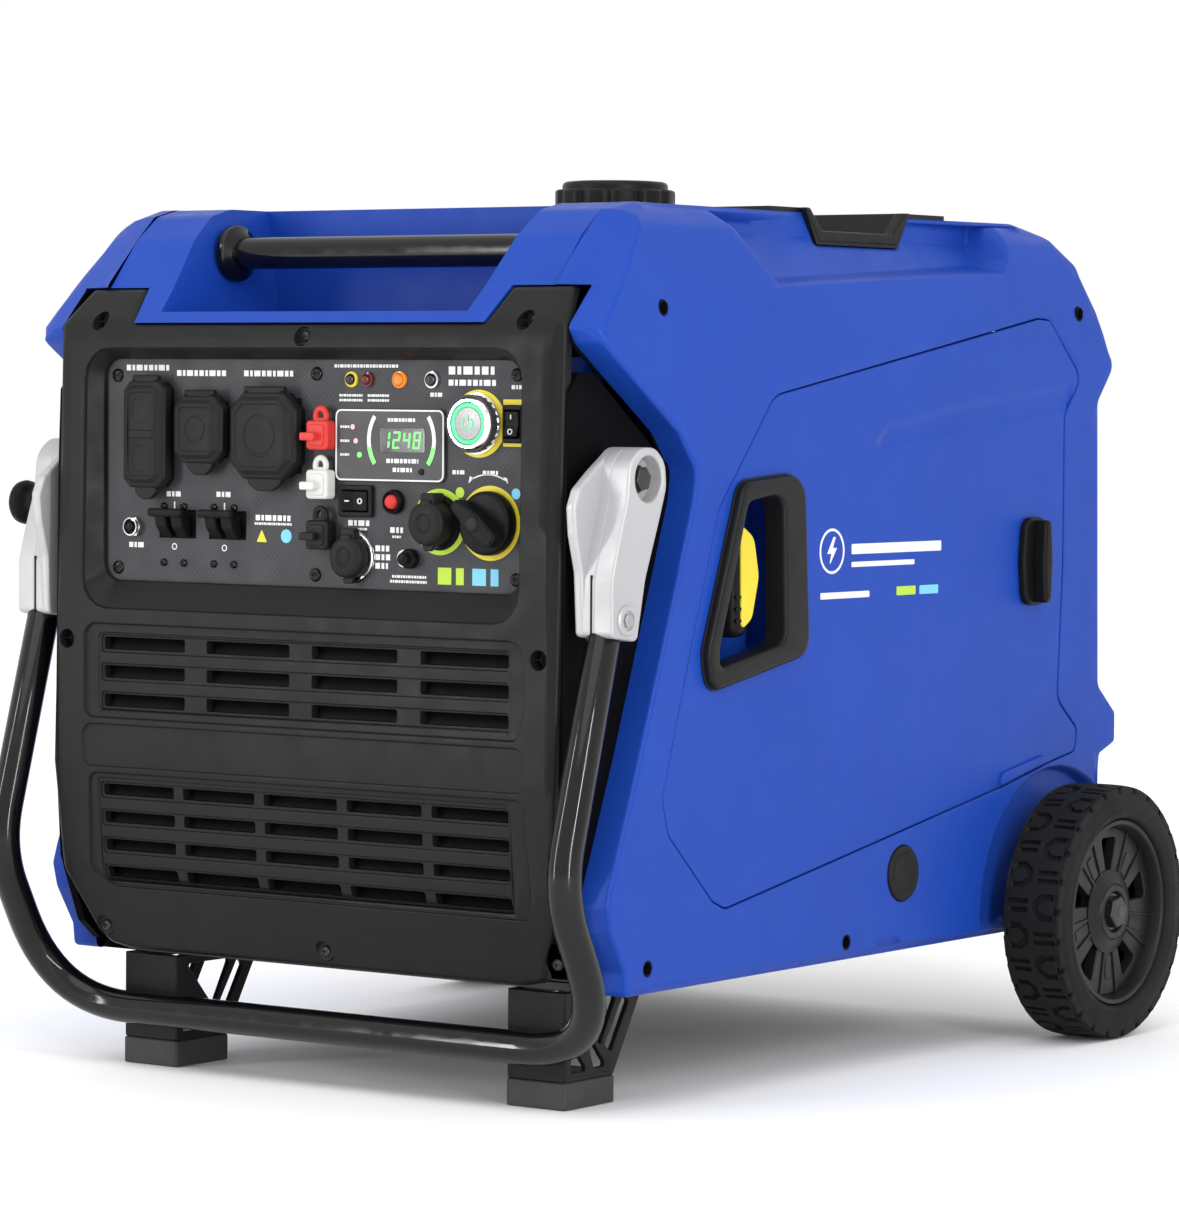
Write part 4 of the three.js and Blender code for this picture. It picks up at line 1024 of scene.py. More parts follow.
def build_display():
    x, z, width, height = 76.5, 490, 103, 54
    body = slab(rectangle(x - width / 2, x + width / 2, z - height / 2, z + height / 2, 5), "y",
                PLATE_Y - 2.6, PLATE_Y - 0.3, 1.0)
    border = slab(rectangle(x - width / 2 + 0.4, x + width / 2 - 0.4, z - height / 2 + 0.4,
                            z + height / 2 - 0.4, 5),
                  "y", PLATE_Y - 2.9, PLATE_Y - 2.2, 0.1,
                  holes=[rectangle(x - width / 2 + 1.6, x + width / 2 - 1.6, z - height / 2 + 1.6,
                                   z + height / 2 - 1.6, 4)])
    window = slab(rectangle(67, 110, 485, 503, 1.0), "y", PLATE_Y - 3.0, PLATE_Y - 2.3, 0.2)
    parts = [(body, DISPLAY_FACE), (border, PRINT), (window, GLASS)]
    for k, symbol in enumerate("1248"):
        parts += all_in(LED_GREEN, *digit(symbol, 74 + k * 9.6, 494))
    parts.append((arc_band(88, 494, 29, 32.4, 145, 215, PLATE_Y - 3.0), PRINT))
    parts.append((arc_band(88, 494, 29, 32.4, 35, -35, PLATE_Y - 3.0), PRINT))
    parts.append((arc_band(88, 494, 29, 32.4, 190, 215, PLATE_Y - 3.1), LED_GREEN))
    parts.append((arc_band(88, 494, 29, 32.4, -10, -35, PLATE_Y - 3.1), LED_GREEN))
    for lamp_x, lamp_z, look in ((42, 503.5, RED_LAMP), (45, 493, RED_LAMP), (48.5, 482.7, LED_GREEN)):
        parts.append((lathe(disc_profile(2.1, PLATE_Y - 3.6, PLATE_Y - 2.4, 0.5), "y", (lamp_x, lamp_z),
                            20), look))
    parts.append((lathe(disc_profile(2.4, PLATE_Y - 3.8, PLATE_Y - 2.4, 0.5), "y", (107, 470.6), 20), DARK))
    for row, (left, right) in enumerate(((74, 104), (80, 98))):
        parts += all_in(PRINT, *text_bars(left, right, 478.5 - row * 6.6, 3.2, PLATE_Y - 2.9))
    parts += all_in(PRINT, *text_bars(75, 102, 509, 2.6, PLATE_Y - 2.9))
    for lamp_z in (503.5, 493, 482.7):
        parts += all_in(PRINT, *text_bars(30, 38.5, lamp_z, 1.8, PLATE_Y - 2.9))
    piece("display", "housing", parts, replaces=["display_module"], angle=40)


def text_bars(left, right, z, height, y):
    """A short row of plain dashes that stands for a printed label."""
    marks, x, k = [], left, 0
    while x < right - 0.8:
        width = min((2.6, 1.5, 3.6, 2.0)[k % 4] * height / 2.6, right - x)
        dash = rectangle(x, x + width, z - height / 2, z + height / 2, 0)
        marks.append(slab(dash, "y", y, y + 0.25, 0.02))
        x += width + 0.9 * height / 2.6
        k += 1
    return marks


def build_lamps():
    for name, x, look, ring_look, radius in (
        ("lamp_service", 39, DARK_LENS, YELLOW, 4.4), ("lamp_alarm", 54, RED_DARK, RED_DARK, 4.2),
        ("lamp_amber", 84.5, AMBER, AMBER, 5.0), ("charge_jack", 115, DARK_LENS, CHROME, 5.0),
    ):
        lens = lathe([(0.01, -39.6), (radius * 0.45, -39.4), (radius * 0.8, -38.4), (radius * 0.95, -36.6),
                      (radius, PLATE_Y - 0.1)], "y", (x, 539), 28)
        rim = turned_ring([(radius, -36.4), (radius + 1.3, -36.0), (radius + 1.6, PLATE_Y - 0.1),
                           (radius, PLATE_Y - 0.1)], "y", (x, 539), 36)
        piece(name, "housing", [(lens, look), (rim, ring_look)], angle=60)


PRINT_Y = PLATE_Y - 0.32


def printed(corners, edge=0.02):
    """A flat mark on the control plate."""
    return slab(corners, "y", PRINT_Y, PRINT_Y + 0.3, edge)


def printed_dot(x, z, radius):
    return lathe(disc_profile(radius, PRINT_Y, PRINT_Y + 0.3, 0.05), "y", (x, z), 32)


def build_printed_marks():
    parts = [
        (flat_ring(158, 507, 20, 25.0, PRINT_Y), YELLOW), (flat_ring(122.5, 434, 20, 24.6, PRINT_Y), LIME),
        (flat_ring(169, 434, 22, 27.6, PRINT_Y), YELLOW), (flat_ring(89, 406, 5.2, 6.6, PRINT_Y), PRINT),
    ]
    for z in (523, 492.5):
        parts.append((printed(rectangle(180.5, 198.5, z - 2, z + 2, 0.5), 0.05), YELLOW))
    for x, look in ((141, LIME), (192.5, SKY)):
        parts.append((printed_dot(x, 456, 4.0), look))
    parts.append((arc_band(167, 437, 32.2, 33.2, 62, 118, PRINT_Y), PRINT))
    for angle, away in ((62, 1), (118, -1)):
        a = math.radians(angle)
        u, v = 167 + 32.7 * math.cos(a), 437 + 32.7 * math.sin(a)
        arrow = [(u - 1.6, v + 2.4, 0.2), (u + 2.8 * away, v - 3, 0.2), (u + 2.2, v + 1.2, 0.2)]
        parts.append((printed(arrow), PRINT))
    labels = (
        (-184, -141, 547, 4.4), (-133, -84, 543, 4.4), (-66, -18, 543, 4.4), (130, 173, 546, 6.0),
        (130, 174, 537, 4.4),
        (-143, -129, 450, 4.0), (-93, -79, 450.5, 4.0), (-181, -166, 410, 4.0), (-54, -20, 433.5, 4.2),
        (-55, -18, 429, 1.8), (36, 56, 431.5, 4.2), (38, 55, 427, 1.8), (76, 88, 427, 4.2),
        (78, 86, 422, 1.8),
        (62, 75, 413, 4.4), (62, 76, 406.5, 4.4), (62, 74, 400, 4.4), (78, 110, 392.5, 2.0),
        (76, 112, 388.8, 2.0),
        (27, 50, 527, 1.8), (27, 50, 523.4, 1.8), (54, 74, 527, 1.8), (54, 74, 523.4, 1.8),
        (22, 84, 549, 2.4),
        (134, 146, 471, 3.0), (162, 176, 471, 3.0), (113, 124, 528, 3.0), (188, 197, 534, 3.0),
    )
    for left, right, z, height in labels:
        parts += all_in(PRINT, *text_bars(left, right, z, height, PRINT_Y))
    parts += all_in(LIME, *text_bars(121, 149, 394, 12.5, PRINT_Y))
    parts += all_in(SKY, *text_bars(153, 178, 394, 12.5, PRINT_Y))
    for x in (-135, -85):
        parts.append((printed(rectangle(x - 0.6, x + 0.6, 438.5, 444, 0.2)), PRINT))
        parts.append((flat_ring(x, 409.5, 1.7, 2.6, PRINT_Y, sides=28), PRINT))
    parts.append((printed([(-53, 415, 0.6), (-43, 415, 0.6), (-48, 424.5, 0.6)]), YELLOW))
    parts.append((printed_dot(-24, 420, 5.2), SKY))
    piece("printed_marks", "housing", parts)


PLATE_SCREWS = ((-193, 541, 5.2), (5, 543, 5.2), (-192, 392, 5.2), (4.5, 391.5, 5.2), (193, 543, 5.0),
                (193, 393, 5.0))


def build_plate_screws():
    parts = []
    small = [(x + dx, z, 3.0) for x in (-135.5, -85.5) for dx in (-10, 10) for z in (440.3, 397)]
    for x, z, radius in (*PLATE_SCREWS, *small):
        head, cross = screw_head(x, z, PLATE_Y - 0.4, radius)
        parts.append((head, GLOSS))
        # The dark cross is painted shade standing for each screw's cross recess.
        parts += all_in(DARK, *cross)
    piece("plate_screws", "housing", parts)


# ---------------------------------------------------------------- tow handle
LEG_X = 271
LEG_TOP, LEG_KNEE, LEG_FOOT = (-15, 415), (-84.5, 172), (-20, 47)
PIVOT = (0, 468)
CLAMP = (-27, 366)


def bend(start, corner, end, count=14):
    """Points of a smooth bend that leaves the start towards the corner and arrives at the end from it."""
    start, corner, end = Vector(start), Vector(corner), Vector(end)
    return [
        (1 - t) ** 2 * start + 2 * t * (1 - t) * corner + t * t * end
        for t in (k / count for k in range(count + 1))
    ]


def handle_path():
    corners = [((LEG_X, *LEG_TOP), 0), ((LEG_X, *LEG_KNEE), 35), ((LEG_X, *LEG_FOOT), 80),
               ((-LEG_X, *LEG_FOOT), 80), ((-LEG_X, *LEG_KNEE), 35), ((-LEG_X, *LEG_TOP), 0)]
    path = [Vector(corners[0][0])]
    for i in range(1, len(corners) - 1):
        here, tangent = Vector(corners[i][0]), corners[i][1]
        start = here + (Vector(corners[i - 1][0]) - here).normalized() * tangent
        end = here + (Vector(corners[i + 1][0]) - here).normalized() * tangent
        path += bend(start, here, end)
    path.append(Vector(corners[-1][0]))
    return path


def build_handle():
    piece("handle_bar", "tow_handle", [(sweep(handle_path(), 12.7, 28), GLOSS)], replaces=["handle_tube"])


def bracket_parts():
    """One cast bracket: an outer slab with the pivot's boss, an inner fin, and the tube clamp."""
    slab_outline = [(-45, 354, 5), (-13, 350, 5), (-3, 395, 30), (15, 440, 30), (23, 462, 24),
                    (21, 481, 18), (8, 491, 16),
                    (-9, 491, 18), (-24, 480, 20), (-27, 452, 30), (-38, 420, 30), (-45, 396, 12)]
    outer = slab(slab_outline, "x", 270, 287.6, 2.2, holes=[circle(*PIVOT, 16.8, 40)])
    leg = slab(slab_outline, "x", 255, 272, 1.6)
    floor = slab(circle(*PIVOT, 17.4, 40), "x", 270, 275.5, 0.3)
    fin_outline = [(-45, 354, 4), (-16, 351, 4), (-6, 395, 30), (10, 440, 30), (16, 470, 14), (4, 486, 12),
                   (-14, 487, 14),
                   (-34, 474, 14), (-52, 461, 9), (-58, 448, 8), (-56, 428, 14), (-48, 400, 20)]
    fin = slab(fin_outline, "x", 254, 262.5, 2.6)
    boss = lathe([(11.5, 283), (11.5, 288.4), (10.4, 289.4), (7.4, 289.4), (6.8, 288.2), (0.01, 288.2)],
                 "x", CLAMP, 36)
    return [outer, leg, floor, fin, boss]


def build_brackets():
    shapes = bracket_parts()
    head = slab(hexagon(*PIVOT, 9.4, 0.8, start=10), "x", 276, 283.5, 1.4)
    washer = lathe(disc_profile(10.6, 275.4, 277, 0.5), "x", PIVOT, 40)
    # A thin dark slab on the bracket's front edge: painted shade standing for the shadow in the slit there.
    slit_shade_strip = slab(rectangle(268.3, 269.5, 356, 399, 0.5), "y", -45.8, -40, 0.1)
    stem = lathe_x(232, 277, *PIVOT, 6)
    clamp_screw = slab(hexagon(*CLAMP, 5.4, 0.5), "x", 287, 290.6, 0.8)
    for side, turn in SIDES:
        piece(f"bracket_{side}", "tow_handle",
              [*all_in(CAST, *map(turn, shapes)), (turn(clamp_screw), STEEL), (turn(slit_shade_strip), DARK)],
              replaces=[f"handle_bracket_{side}"], angle=40)
        piece(f"pivot_screw_{side}", "housing", all_in(DARK_STEEL, *map(turn, (head, washer, stem))),
              replaces=[f"pivot_bolt_{side}"], angle=40)


def build_lock_knob():
    y, z = -16, 440
    profile = [(0.01, -313), (8, -312.8), (13.5, -311.4), (16.8, -308.4), (17.6, -304.8), (16.8, -301.4),
               (13.2, -298.6),
               (10.4, -297), (9.8, -294), (10.2, -288.4), (4, -288), (4, -247)]
    piece("lock_knob_cap", "lock_pin", [(lathe(profile, "x", (y, z), 48), DARK)], replaces=["lock_knob"],
          angle=60)


# ---------------------------------------------------------------- wheels
WHEEL_R, WHEEL_Y, WHEEL_OUT, TYRE_WIDTH, RIM_R = 104.8, 615.6, 336, 55, 77
TREAD_PITCHES = 13


def tread_band():
    """The tread, laid out flat as (along, across) and wrapped round the wheel."""
    length = math.tau * WHEEL_R
    pitch = length / TREAD_PITCHES
    half = TYRE_WIDTH / 2 - 3.0
    steps = []

    def groove(points, radius=1.2, depth=4.2):
        steps.append(step([(u, v, radius) for u, v in points], depth, edge=0.6, foot=0.4, draft=0.4))

    for k in range(TREAD_PITCHES):
        for side in (1, -1):
            u = (k + (0.28 if side > 0 else 0.76)) * pitch
            bar = (k + (0.78 if side > 0 else 0.26)) * pitch
            pointed = [(u - 4.5, side * 1.8), (u + 4.5, side * 1.8), (u + 11, side * 9),
                       (u + 11, side * 23.2),
                       (u - 11, side * 23.2), (u - 11, side * 9)]
            block = [(u - 1.5, side * 6.4), (u + 1.5, side * 6.4), (u + 6.4, side * 11.4),
                     (u + 6.4, side * 21.6),
                     (u - 6.4, side * 21.6), (u - 6.4, side * 11.4)]
            steps.append(step([(a, b, 1.2) for a, b in pointed], 4.2, edge=0.7, foot=0.4, draft=0.4))
            steps.append(step([(a, b, 1.0) for a, b in block], -3.6, edge=0.6, foot=0.4, draft=0.3,
                              parent=4.2))
            for offset in (-3.6, 3.6):
                groove([(bar + offset - 1.9, side * 2.6), (bar + offset + 1.9, side * 2.6),
                        (bar + offset + 1.9, side * 22.8), (bar + offset - 1.9, side * 22.8)], 0.9, 3.6)
    parts = TREAD_PITCHES * 10
    outline = [(length * k / parts, -half, 0) for k in range(parts + 1)]
    outline += [(length * k / parts, half, 0) for k in range(parts, -1, -1)]

    def around(_, u, v, height):
        radius = WHEEL_R - max(height, 0) - 1.1 * (v / half) ** 4
        angle = u / WHEEL_R
        return (WHEEL_OUT - TYRE_WIDTH / 2 + v, WHEEL_Y + radius * math.cos(angle),
                WHEEL_R + radius * math.sin(angle))

    return relief(outline, steps, lambda u, v: 0.0, rim=(0.01, 0.02), spacing=5.5, wrap=around)


def shoulder_lugs():
    """Blocks round both shoulders, two to a pitch."""
    lugs = []
    count = TREAD_PITCHES * 2
    for k in range(count):
        for side in (1, -1):
            angle = (k + (0.25 if side > 0 else 0.0)) * 360 / count + 6
            middle = WHEEL_OUT - TYRE_WIDTH / 2
            x0, x1 = sorted((middle + side * 19, middle + side * 26.2))
            lug = slab([(WHEEL_Y - 9, WHEEL_R + 90, 3), (WHEEL_Y + 9, WHEEL_R + 90, 3),
                        (WHEEL_Y + 10.4, WHEEL_R + 103.2, 2.2),
                        (WHEEL_Y - 10.4, WHEEL_R + 103.2, 2.2)], "x", x0, x1, 1.8)
            lugs.append(turned_about(lug, "x", angle, (0, WHEEL_Y, WHEEL_R)))
    return lugs


def build_wheels():
    mid, inner = WHEEL_OUT - TYRE_WIDTH / 2, WHEEL_OUT - TYRE_WIDTH
    centre = (WHEEL_Y, WHEEL_R)
    wall = [(99.6, 24.0), (98.2, 25.6), (94.5, 26.8), (90, 27.4), (86, 27.5), (85, 27.0), (84.2, 27.5),
            (82, 27.4),
            (79.5, 26.6), (78.0, 25.2), (77.2, 22.0)]
    profile = [(r, mid + h) for r, h in wall] + [(r, mid - h) for r, h in reversed(wall)] + [(100.2, mid)]
    carcass = turned_ring(profile, "x", centre, 96)
    tyre_parts = [carcass, tread_band(), *shoulder_lugs()]

    side = WHEEL_OUT - 4
    rim = turned_ring([
        (77.0, inner + 6), (77.0, side - 1.5), (75.6, side), (72.6, side), (71.4, side - 1.2),
        (70.4, side - 6),
        (68.6, side - 14), (68.6, inner + 8),
    ], "x", centre, 96)
    windows = []
    for k in range(5):
        turn = math.radians(k * 72 + 18)
        corners = []
        for tangent, radial, radius in ((-3.4, 31, 2.5), (3.4, 31, 2.5), (12.2, 61, 3), (-12.2, 61, 3)):
            y = radial * math.cos(turn) - tangent * math.sin(turn)
            z = radial * math.sin(turn) + tangent * math.cos(turn)
            corners.append((WHEEL_Y + y, WHEEL_R + z, radius))
        windows.append(corners)
    web = slab(circle(*centre, 69.5, 96), "x", side - 20, side - 10, 1.2, holes=windows)
    backing = slab(circle(*centre, 69.5, 96), "x", inner + 9, inner + 12, 0.8)
    parts = [rim, web, backing]
    for k in range(5):
        for offset in (-11, 11):
            rib = slab(rectangle(WHEEL_Y + 26, WHEEL_Y + 70, WHEEL_R - 1.2, WHEEL_R + 1.2, 0.6), "x",
                       side - 12, side - 8.4, 0.8)
            parts.append(turned_about(rib, "x", k * 72 + 54 + offset, (0, *centre)))
        pad = slab(rectangle(WHEEL_Y + 36, WHEEL_Y + 56, WHEEL_R - 4.5, WHEEL_R + 4.5, 1.5), "x", side - 12,
                   side - 9.2, 0.6)
        parts.append(turned_about(pad, "x", k * 72 + 54, (0, *centre)))
    parts.append(turned_ring([(8.6, inner + 4), (23.5, inner + 4), (23.5, side - 5), (22, side - 3.4),
                              (17.6, side - 3.4),
                              (16.4, side - 4.8), (16.0, side - 8), (8.6, side - 8)], "x", centre, 56))
    parts.append(turned_ring([(23, side - 12), (34, side - 11), (34.5, side - 9.2), (31, side - 7.6),
                              (23.4, side - 4.4)], "x", centre, 64))
    bolt = slab(hexagon(*centre, 13.6, 1.0, start=12), "x", 324.5, 333, 1.6)
    washer = lathe(disc_profile(15.4, 323.6, 326, 0.5), "x", centre, 40)
    well = lathe([(0.01, 333.3), (4.5, 333.3), (5.6, 332.9)], "x", centre, 32)
    rod = lathe_x(-326, 326, *centre, 8)
    for name, turn in SIDES:
        piece(f"tyre_{name}_tread", f"wheel_{name}", all_in(TYRE, *map(turn, tyre_parts)),
              replaces=[f"tyre_{name}"],
              angle=40)
        piece(f"hub_{name}", f"wheel_{name}", all_in(WHEEL, *map(turn, parts)),
              replaces=[f"wheel_hub_{name}"],
              angle=40)
    ends = [bolt, washer, well]
    piece("axle_rod", "housing", all_in(DARK_STEEL, rod, *ends, *map(mirrored, ends)),
          replaces=["axle"], angle=40)


# ---------------------------------------------------------------- window, recoil grip, latch and plug
def build_window():
    outer = [(140, 464, 16), (224, 470, 20), (232, 331, 16), (99, 307, 18), (94, 338, 16)]
    inner = [(147, 449, 10), (194, 455, 12), (198, 341, 12), (110, 325, 12), (110, 340, 10)]
    ring_shape = slab(outer, "x", 258, 277.5, 3.4, edge_low=0.5, holes=[inner])
    lip = slab(moved_in(outer, -1.5), "x", 269.8, 271.6, 0.7, holes=[moved_in(inner, -8)])
    piece("window_rim", "service_door", all_in(BLACK, ring_shape, lip), replaces=["window_frame"],
          angle=60)


def build_grip():
    y, z = 155, 386
    body = slab([(y - 11, z - 40, 9), (y + 11, z - 40, 9), (y + 12, z, 30), (y + 10, z + 40, 9),
                 (y - 10, z + 40, 9),
                 (y - 12, z, 30)], "x", 243, 265, 6.5)
    stem = lathe_x(216, 246, y, z, 9)
    ribs = [slab(rectangle(y - 9, y + 9, z + k * 9 - 1.4, z + k * 9 + 1.4, 1), "x", 262, 266.2,
                 0.8) for k in (-3, -2, -1)]
    guide = turned_ring([(12, 229), (19, 229), (20.5, 231), (20.5, 236), (12, 238)], "x", (y, z), 40)
    crescent = [(y - 4, z + 46, 3), (y + 14, z + 36, 14), (y + 21, z + 6, 20), (y + 12, z - 26, 12),
                (y - 2, z - 34, 3)]
    label = slab(crescent, "x", 262.5, 266.5, 0.8)
    piece("recoil_handle", "recoil_grip", [*all_in(DARK, body, stem, *ribs), (label, YELLOW)],
          replaces=["recoil_grip"], angle=50)
    piece("rope_guide", "housing", [(guide, DARK)], angle=50)


def build_latch():
    y, z = 572, 394
    base = slab([(y - 17, z - 36, 12), (y + 17, z - 36, 12), (y + 21, z, 60), (y + 17, z + 36, 12),
                 (y - 17, z + 36, 12),
                 (y - 21, z, 60)], "x", 270.5, 276.5, 2.6, edge_low=0.4)
    bar = slab([(y - 5, z - 34, 4), (y + 5, z - 34, 4), (y + 7.4, z, 40), (y + 5, z + 34, 4),
                (y - 5, z + 34, 4),
                (y - 7.4, z, 40)], "x", 275, 288, 3.2)
    stem = lathe_x(252, 272, y, z, 6)
    piece("latch_turn", "door_latch", all_in(DARK, base, bar, stem), replaces=["latch_knob"],
          angle=50)


def build_plug():
    y, z = 379, 151
    disc = lathe([(0.01, 271.4), (14, 271.4), (15.2, 270.8), (16.2, 271.4), (19.8, 272.2), (21.4, 271.6),
                  (22, 270.2),
                  (22, 264)], "x", (y, z), 56)
    piece("plug_disc", "side_plug", [(disc, RUBBER)], replaces=["side_plug"], angle=50)


def build_side_screws():
    parts = []
    for side in (1, -1):
        for y, z, x in SHELL_SCREWS:
            head, cross = screw_head(y, z, 0, 4.6, axis="x")
            # The dark cross is painted shade standing for each screw's cross recess.
            for shape, look in ((head, DARK_STEEL), *all_in(DARK, *cross)):
                points = [(side * (x - p[0] - 4), p[1], p[2]) for p in shape[0]]
                parts.append(((points, shape[1]), look))
            # A dark disc at the bottom of each screw bore and a thin dark sleeve lining it: painted shade for
            # the deep bores in the blue shells.
            bore_shade_disc = slab(circle(y, z, 5.4, 20), "x", x - 10.5, x - 9.5, 0.2)
            bore_shade_sleeve = turned_ring([(5.0, x + 6.5), (5.6, x + 6.5), (5.6, x - 10), (5.0, x - 10)], "x", (y, z),
                              28)
            parts += all_in(DARK, *((bore_shade_disc, bore_shade_sleeve) if side > 0 else map(mirrored, (bore_shade_disc, bore_shade_sleeve))))
    piece("shell_screws", "housing", parts, angle=50)


# ---------------------------------------------------------------- side shells
HALF_WIDTH, TOP = 270, 672
EAR_TOP = 609.2  # above it the shells meet the top covers, below it the fascia's ears and the rear panel
COVER_SEAM, PANEL_SEAM = 216.6, 244.3
CREASE = 2.2  # how softly the facets run into one another
ARCH_FLOOR = 258
SHELL_SCREWS = ((44, 593, 262), (650, 598, 262), (28, 107, 263), (298, 103, 263))
SHELL_OUTLINE = [
    (1, 88, 5), (-1, 106, 6), (-20, 137, 10), (-25, 156, 10), (-20, 171, 14), (16, 262, 40), (66, 401, 40),
    (84, 452, 20), (87, 473, 14), (64, 501, 16), (-34, 566, 12), (-41, 577, 2), (-39, 581, 4),
    (-12.6, 608.8, 1),
    (-20.6, 609.6, 1), (-17, 614, 4), (15, 647, 8), (36, 666, 8), (60, 672, 12), (306, 672, 2),
    (319, 647, 4), (438, 647, 4), (453, 672, 2), (600, 672, 16),
    (632, 662, 20), (662, 639, 16), (707, 554, 12), (681, 524, 10), (687, 287, 10), (716, 263, 6),
    (716, 237, 5),
    (690, 228, 4), (690, 88, 5),
]
LEDGE = [(146, 667), (205, 612), (540, 629), (552, 640), (560, 667)]
LEDGE_SOFT = 7.0
ARCH = (615.6, 104.8, 118)


def past_ledge(y, z):
    """How far a point of the side view lies inside the sloping recess, in millimetres."""
    near = []
    for (y0, z0), (y1, z1) in zip(LEDGE, LEDGE[1:]):
        length = math.hypot(y1 - y0, z1 - z0)
        near.append(((y1 - y0) * (z - z0) - (z1 - z0) * (y - y0)) / length)
    return min(near)


def eased(value):
    value = min(max(value, 0.0), 1.0)
    return value * value * (3 - 2 * value)


def shell_face(y, z):
    """Where the shell's outer face stands: facets with moulded creases, the ledge and the wheel arch."""
    facets = (
        HALF_WIDTH,
        HALF_WIDTH - 18 * (z - 592) / 66,
        252 - 20 * (z - 656) / 16,
        228 + (40 * (y + 44) - 38.5 * (z - 581)) / 12,
    )
    lowest = min(facets)
    x = lowest - CREASE * math.log(sum(math.exp((lowest - facet) / CREASE) for facet in facets))
    recess = max(min(x, 202 + (TOP - z) * 0.8), 217)
    x += (recess - x) * eased(past_ledge(y, z) / LEDGE_SOFT)
    in_arch = ARCH[2] - math.hypot(y - ARCH[0], z - ARCH[1])
    return x + (min(x, ARCH_FLOOR) - x) * eased(in_arch / 4)


def seam(z):
    """Where the shell ends inward: beside the fascia's ears, or against the top covers."""
    return PANEL_SEAM if z < EAR_TOP else COVER_SEAM


def shell_lines():
    """Rows of points along the creases, so that they are moulded cleanly."""
    rows = []
    for offset in (-4.5, -1.5, 1.5, 4.5):
        rows.append([(y, 592 + offset) for y in np.arange(-30, 690, 9)])
        rows.append([(-44 + (504 + 38.5 * (z - 581)) / 40 + offset, z) for z in np.arange(560, 668, 6)])
    for offset in (-3, -1, 1, 3):
        rows.append([(y, 655.6 + offset) for y in np.arange(20, 640, 9)])
    for offset in (-1.5, 0.5, 2.5, 4.5, 6.5, 8.5):
        rows.append(ring([(*corner, 3) for corner in [*LEDGE, (560, 900), (146, 900)]], offset))
    for radius in (112, 113.5, 115, 116.5, 118, 119.5):
        rows.append([
            (ARCH[0] + radius * math.cos(a), ARCH[1] + radius * math.sin(a)) for a in np.linspace(-0.5,
                                                                                                  3.64, 90)
        ])
    return [[(float(u), float(v)) for u, v in row] for row in rows]


def build_shells():
    def wall(_, z):
        return HALF_WIDTH - (244.4 if z < 575 else 216.5)

    screws = [step(circle(y, z, 6.2, 24), 7, edge=0.6, through=True)
              for y, z, _ in SHELL_SCREWS]
    plug = step(circle(379, 151, 22.5, 48), 5, edge=0.8, through=True)
    opening = step(moved_in(DOOR_OUTLINE, -0.6), 7, edge=1.0, through=True)
    for (side, turn), holes in zip(SIDES, ([*screws, plug, opening], screws)):
        shape = relief(
            SHELL_OUTLINE, holes, lambda y, z: HALF_WIDTH - shell_face(y, z), rim=(3.5, wall), spacing=9,
            wrap=lambda _, y, z, depth: (max(HALF_WIDTH - depth, seam(z)), y, z), lines=shell_lines(),
        )
        name = f"side_shell_{side}"
        piece(f"{name}_moulding", "housing", [(turn(shape), BLUE)],
              replaces=[name])
        liner = slab([(-39, 567, 1), (-30, 560, 3), (58, 507, 6), (82, 474, 4), (80, 440, 4), (112, 440, 4),
                      (112, 607, 2), (-13, 607, 2), (-39, 580, 1)], "x", 242.8, 244.0, 0.2)
        corner = slab([(676, 611, 2), (688.5, 586, 3), (689, 574, 1), (676, 574, 1), (664, 611, 2)], "x",
                      205, 244.4, 0.6)
        piece(f"rear_corner_{side}", "housing", [(turn(corner), BLUE)])
        piece(f"cheek_liner_{side}", "housing", [(turn(liner), FRAME_BLACK)])


# ---------------------------------------------------------------- service door and its generic mark
DOOR_OUTLINE = [
    (190, 529, 30), (583, 593, 16), (600, 592, 6), (652, 545, 12), (625, 515, 14), (625, 394, 8),
    (618, 278, 16),
    (651, 252, 10), (648, 233, 8), (606, 226, 12), (529, 210, 12), (129, 143, 16), (112, 150, 10),
    (53, 204, 16),
    (45, 231, 16), (71, 311, 12), (117, 444, 12),
]


